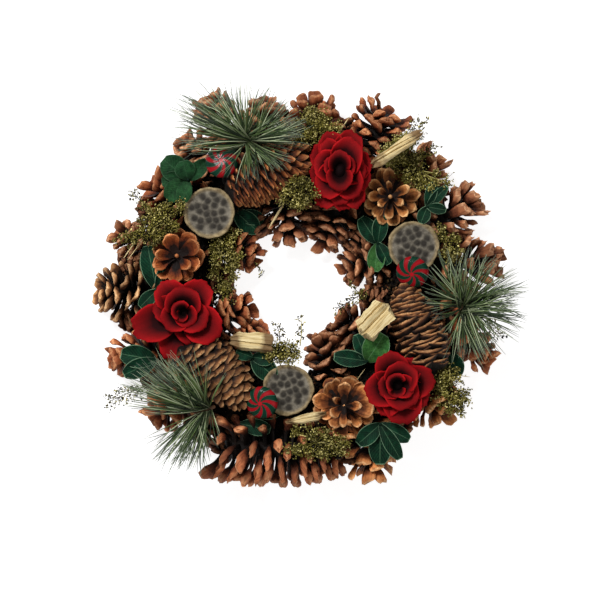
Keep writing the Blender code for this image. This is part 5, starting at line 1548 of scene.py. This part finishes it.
def moss_clump(half_size, count, rng):
    """A clump is many tufts. A tuft's middle lies in a random direction, mostly upwards, at 0.5 to 1.05 times
    the half size, and its beads fall round it in a bell curve. Beads deep inside are painted dark and the
    outer ones lighter, as painted shade inside the clump. Stems run from the foot to the tufts, and hairs on
    to one bead in four."""
    tufts = count // 40
    direction = rng.normal(0, 1, (tufts, 3))
    direction[:, 2] = np.abs(direction[:, 2]) * np.where(rng.random(tufts) < 0.8, 1, -1)
    middles = unit(direction) * rng.uniform(0.50, 1.05, (tufts, 1)) * half_size
    pick = rng.integers(0, tufts, count)
    places = middles[pick] + rng.normal(0, 2.2 * MM, (count, 3))
    depth = np.linalg.norm(places / half_size, axis=1)
    # Painted shade: beads near the clump's middle get a low chance, and so a dark tone.
    chance = np.clip(0.10 + 0.62 * depth + rng.normal(0, 0.16, count), 0, 0.92)
    chance = np.where(rng.random(count) < 0.05, 1.0, chance)
    stems = hairs(middles * 0.1, middles, 0.45 * MM, rng, 5)
    return join([beads(places, 0.62 * MM, rng, chance), stems,
                 hairs(middles[pick][::4], places[::4], 0.20 * MM, rng)])


def solid_clump(place, size, rng):
    """The clump over a solid, a little larger than it, with its aim as the first axis."""
    return moss_clump(size[list(AIM_FIRST)] / 2 * [*place.grow, 1.0], place.beads, rng)


for order, place in enumerate(MOSS_PLACES):
    dress(place, "_beads", solid_clump, MOSS_FINISH, 800 + order, rows=AIM_FIRST)
for order, patch in enumerate(MOSS_PATCHES):
    clump = moss_clump(np.array(patch.half) * MM, patch.beads, np.random.default_rng(820 + order))
    rows = frame_along(heading(patch.aim))[list(AIM_FIRST)]
    shape_object(patch.name, moved(clump, photo_place(patch.pixel, patch.height * MM), rows), MOSS_FINISH)
moss_objects = len(MOSS_PLACES) + len(MOSS_PATCHES)
print("moss clumps:", sum(made_triangles[-moss_objects:]), "triangles")

# %% [markdown]
# ## Dry moss on the ring
# Between the pieces the ring is packed with dark dry moss, which hides the vines and the glue. Its dark is
# partly the moss's own colour and partly painted shade, for the gaps between the pieces.

# %% Dry moss on the ring
PACKING_BEADS = 7000
MAT_HALF = np.array([29.0, 15.5]) * MM
MAT_RADIUS = 98.5 * MM
MAT_HEIGHT = 13 * MM


def packing_mat(stations=260, sides=40):
    """The mat that the moss makes: round the ring by a and its section by b, an oval whose size is
    1 + lumps, where the lumps are a sum of slow and fast waves in a and b. Below, it stays flat."""
    a = full_turn(stations)[:, None]
    b = full_turn(sides)[None]
    lumps = 0.07 * np.sin(9 * a + 2 * b) + 0.06 * np.sin(23 * a - 3 * b) + 0.05 * np.sin(47 * a + 5 * b)
    lumps = lumps + 0.05 * np.sin(71 * a - 9 * b) + 0.04 * np.sin(33 * a + 13 * b)
    radius = MAT_RADIUS + MAT_HALF[0] * (1 + lumps) * np.cos(b)
    height = MAT_HEIGHT + MAT_HALF[1] * (1 + lumps) * np.sin(b)
    height = np.maximum(height, 5 * MM + 1.5 * MM * np.cos(b))
    points = np.stack([radius * np.cos(a), radius * np.sin(a), height], -1)
    quads = closed_rings(stations, sides)[:, [0, 3, 2, 1]]
    # Painted shade: the mat is darker where its lumps dip in and lighter where they swell.
    chance = np.clip(0.25 + 2.5 * lumps, 0, 1)
    return Shape(points.reshape(-1, 3), quads, NO_TRIANGLES, {"chance": chance.ravel()})


def packing_places(rng):
    """Places on the mat: the angle round the ring and round its section are random, and each place
    stands up to 5 mm off the mat."""
    around = rng.uniform(0, 2 * np.pi, PACKING_BEADS)
    section = np.radians(rng.uniform(8, 172, PACKING_BEADS))
    off = rng.beta(1.2, 2.0, PACKING_BEADS) * 5 * MM
    radius = MAT_RADIUS + (MAT_HALF[0] + off) * np.cos(section)
    return spot(rays(around)[0], radius, MAT_HEIGHT + (MAT_HALF[1] + off) * np.sin(section))


packing_rng = np.random.default_rng(41)
packing = packing_places(packing_rng)
hair_roots = packing[::3]
hair_ends = hair_roots + packing_rng.normal(0, 2.6 * MM, hair_roots.shape)
packing_parts = [packing_mat(), beads(packing, 1.0 * MM, packing_rng),
                 hairs(hair_roots, hair_ends, 0.3 * MM, packing_rng)]
shape_object("moss_packing", moved(join(packing_parts), RING_CENTRE * [1, 1, 0]), DRY_MOSS_SHADE_FINISH)
print("packing:", made_triangles[-1], "triangles")

# %% [markdown]
# ## Needle tufts
# Each tuft has hundreds of long thin needles that leave a short brown stem. Their directions follow the
# fans that the photograph shows: a list of aims, each with the share of the needles up to the next aim.
# A needle that would run into a solid is raised until the way ahead of it is clear.

# %% Needle tufts
NEEDLE_WIDTH = 0.34 * MM * np.array([0.9, 1.0, 1.0, 1.0, 0.9, 0.7, 0.3])
TuftPlace = namedtuple("TuftPlace", "node pixel height bundles fans reaches grain")
# Each tuft: fans of (first aim, share of the needles), and (aim, reach in pixels) round the knot.
TUFT_PLACES = [
    TuftPlace("needles_1130", (252.6, 143), 64, 92, [(0, 9), (22, 20), (52, 7), (76, 4), (104, 15),
                                                     (130, 38), (190, 3),
                                                   (216, 9), (290, 14), (320, 9)],
              [(0, 60), (20, 62), (45, 64), (62, 66), (80, 68), (100, 62), (125, 70), (140, 79), (152, 87),
               (166, 92),
               (180, 90), (192, 80), (210, 52), (245, 54), (270, 43), (290, 46), (312, 50), (335, 56),
               (360, 60)], 160),
    TuftPlace("needles_0730", (207, 409), 62, 78, [(84, 4), (112, 32), (150, 22), (170, 1), (210, 2),
                                                   (220, 32),
                                                 (262, 10), (290, 1)],
              [(0, 22), (60, 50), (95, 66), (121, 78), (145, 84), (161, 88), (187, 80), (215, 74), (250, 72),
               (265, 70), (285, 44), (320, 26), (360, 22)], 200),
    TuftPlace("needles_03", (460.7, 308.8), 62, 88, [(0, 14), (30, 14), (70, 10), (110, 12), (150, 4),
                                                     (190, 4),
                                                   (235, 12), (285, 14), (330, 14)],
              [(0, 71), (20, 72), (45, 73), (70, 66), (87, 70), (110, 66), (132, 64), (163, 50), (200, 36),
               (235, 44),
               (262, 55), (275, 58), (300, 64), (326, 70), (350, 72), (360, 71)], 60),
]
NEEDLES_IN_BUNDLE = 4


def solids_tree(without):
    """All solids but one as one tree for ray tests."""
    points, faces, start = [], [], 0
    for name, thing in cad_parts.items():
        if name != without:
            corners = node_points(name)
            points.append(corners)
            faces += [tuple(start + v for v in polygon.vertices) for polygon in thing.data.polygons]
            start += len(corners)
    return BVHTree.FromPolygons([Vector(p) for p in np.concatenate(points)], faces)


def fan_aims(fans, count, rng):
    """Aims in degrees, spread so that each fan gets its share of the needles."""
    starts = [first for first, weight in fans]
    ends = starts[1:] + [starts[0] + 360]
    weights = np.array([weight for first, weight in fans], float)
    picked = rng.choice(len(fans), count, p=weights / weights.sum())
    return np.array(starts)[picked] + rng.random(count) * (np.array(ends) - np.array(starts))[picked]


def clear_rise(tree, root, aim, rise, reach):
    """The lowest rise in degrees, from the wanted one up in steps of 3, at which the way is clear."""
    while rise < 70:
        direction = Vector(heading(aim, rise))
        if tree.ray_cast(Vector(root) + direction * 6 * MM, direction, reach - 6 * MM)[0] is None:
            return rise
        rise += 3
    return rise


def tuft_shape(place, rng):
    """All needles of one tuft, in bundles that leave a short twig, each needle bent on its way."""
    tree = solids_tree(place.node)
    bundle = np.repeat(np.arange(place.bundles), NEEDLES_IN_BUNDLE)
    count = len(bundle)
    knot = photo_place(place.pixel, place.height * MM)
    grain = heading(place.grain)
    bundle_aims = fan_aims(place.fans, place.bundles, rng)
    bundle_level = rng.random(place.bundles)
    bundle_shift = rng.uniform(-5, 9, place.bundles) * MM
    aims = bundle_aims[bundle] + rng.normal(0, 5, count)
    level = np.clip(bundle_level[bundle] + rng.normal(0, 0.05, count), 0, 1)
    longest = np.interp(aims % 360, *zip(*place.reaches)) * PIXEL
    reach = longest * rng.beta(7, 1.5, place.bundles)[bundle] * rng.uniform(0.86, 1.0, count)
    outward, sway = rays(np.radians(aims))
    roots = knot + grain * bundle_shift[bundle][:, None] + spot(outward, 1.4 * MM, 10 * MM * level)
    wanted = -10 + 34 * level + rng.normal(0, 6, count)
    rises = np.array([clear_rise(tree, root, aim, rise, length)
                      for root, aim, rise, length in zip(roots, aims, wanted, reach)])
    direction = spot(outward, 1, np.tan(np.radians(rises)))
    direction /= np.maximum(np.linalg.norm(direction, axis=1), 1.0)[:, None] ** 0.6
    ends = roots + (direction + sway * rng.normal(0, 0.06, (count, 1))) * reach[:, None]
    bend = rng.normal(0, 0.07, place.bundles)[bundle] + rng.normal(0, 0.03, count)
    middles = roots + direction * reach[:, None] * 0.5 + spot(sway, bend * reach, 0.05 * reach)
    needles = blades(bent_line(roots, middles, ends, np.linspace(0, 1, 7)), sway, NEEDLE_WIDTH,
                     NEEDLE_WIDTH, 4,
                     chance=rng.random(count))
    twig = np.linspace(knot - grain * 7 * MM - UP * MM, knot + grain * 10 * MM + UP * 7 * MM, 7)
    post = np.linspace(knot - UP * 15 * MM, knot + UP * 4 * MM, 5)
    side = np.cross(grain, UP)
    stems = join([rod(twig, 1.5 * MM, 8, aside=side), rod(post, 2.0 * MM, 10, aside=side)])
    return join([needles, marked(stems, stem=1)])


def needle_finish():
    """Needles: greens that differ by chance, dark at the root as painted shade in the tuft's middle, and dull
    at the tip, on brown stems.
    """
    needle = Finish("needle_green", roughness=0.55, specular=0.3)
    along = needle.value("along")
    tone = needle.ramp(needle.value("chance"), [(0.0, screen(12, 24, 10)), (0.35, screen(44, 64, 32)),
                                                (0.66, screen(88, 110, 56)), (1.0, screen(184, 194, 156))])
    tipped = needle.mix(needle.ramp(along, [(0.6, 0), (1.0, 0.5)]), tone, screen(128, 136, 124))
    # Painted shade: each needle darkens towards its root, in the middle of the tuft.
    root_shaded = needle.shade(tipped, along, [(0.0, (0.25, 0.25, 0.22, 1)), (0.40, 1)])
    needle.colour(needle.mix(needle.value("stem"), root_shaded, screen(92, 66, 46)))
    return needle.material


NEEDLE_FINISH = needle_finish()
for order, place in enumerate(TUFT_PLACES):
    tuft = tuft_shape(place, np.random.default_rng(900 + order))
    shape_object(place.node + "_fine", tuft, NEEDLE_FINISH, [place.node])
print("tufts:", sum(made_triangles[-3:]), "triangles")

# %% [markdown]
# ## Sprigs that reach past the edge
# Thin sprigs of moss reach over the rim and into the hole. A sprig is a bent stem with side twigs, each
# with beads along it.

# %% Moss sprigs
SprigLine = namedtuple("SprigLine", "root end height spread beads")
SPRIG_LINES = [
    SprigLine((146, 386), (110, 401), 36, 9, 190),
    SprigLine((370, 289), (336, 309), 34, 6, 120),
    SprigLine((366, 300), (350, 284), 34, 5, 50),
    SprigLine((486, 318), (499, 336), 38, 7, 110),
    SprigLine((148, 214), (133, 192), 40, 6, 90),
    SprigLine((410, 152), (420, 123), 48, 8, 150),
    SprigLine((424, 158), (434, 146), 46, 6, 70),
    SprigLine((300, 346), (301, 318), 40, 4, 70),
    SprigLine((280, 342), (277, 326), 38, 5, 60),
    SprigLine((254, 262), (262, 273), 34, 3, 24),
    SprigLine((134, 246), (118, 238), 44, 5, 60),
]


def sprig_shape(line, rng):
    """One sprig: beads scattered along twigs that leave the stem at both sides."""
    root = photo_place(line.root, line.height * MM)
    end = photo_place(line.end, line.height * MM + 4 * MM)
    along = end - root
    aside = unit(np.cross(along, UP))
    twigs = max(6, line.beads // 8)
    side = np.where(np.arange(twigs) % 2, 1, -1) * rng.uniform(0.3, 1.0, twigs) * line.spread * MM
    starts = root + along * np.linspace(0.1, 1.0, twigs)[:, None]
    ends = starts + unit(along) * line.spread * 0.6 * MM + aside * side[:, None]
    ends[:, 2] += rng.uniform(-2, 5, twigs) * MM
    pick = rng.integers(0, twigs, line.beads)
    share = rng.uniform(0.2, 1.08, (line.beads, 1))
    places = starts[pick] + (ends[pick] - starts[pick]) * share + rng.normal(0, 0.7 * MM, (line.beads, 3))
    stem = hairs(root[None], end[None], 0.5 * MM, rng, 5)
    return join([stem, hairs(starts, ends, 0.25 * MM, rng), beads(places, 0.62 * MM, rng)])


sprig_rng = np.random.default_rng(51)
sprigs = join([sprig_shape(line, sprig_rng) for line in SPRIG_LINES])
shape_object("moss_sprigs", sprigs, MOSS_FINISH)
print("sprigs:", made_triangles[-1], "triangles; in all:", sum(made_triangles))
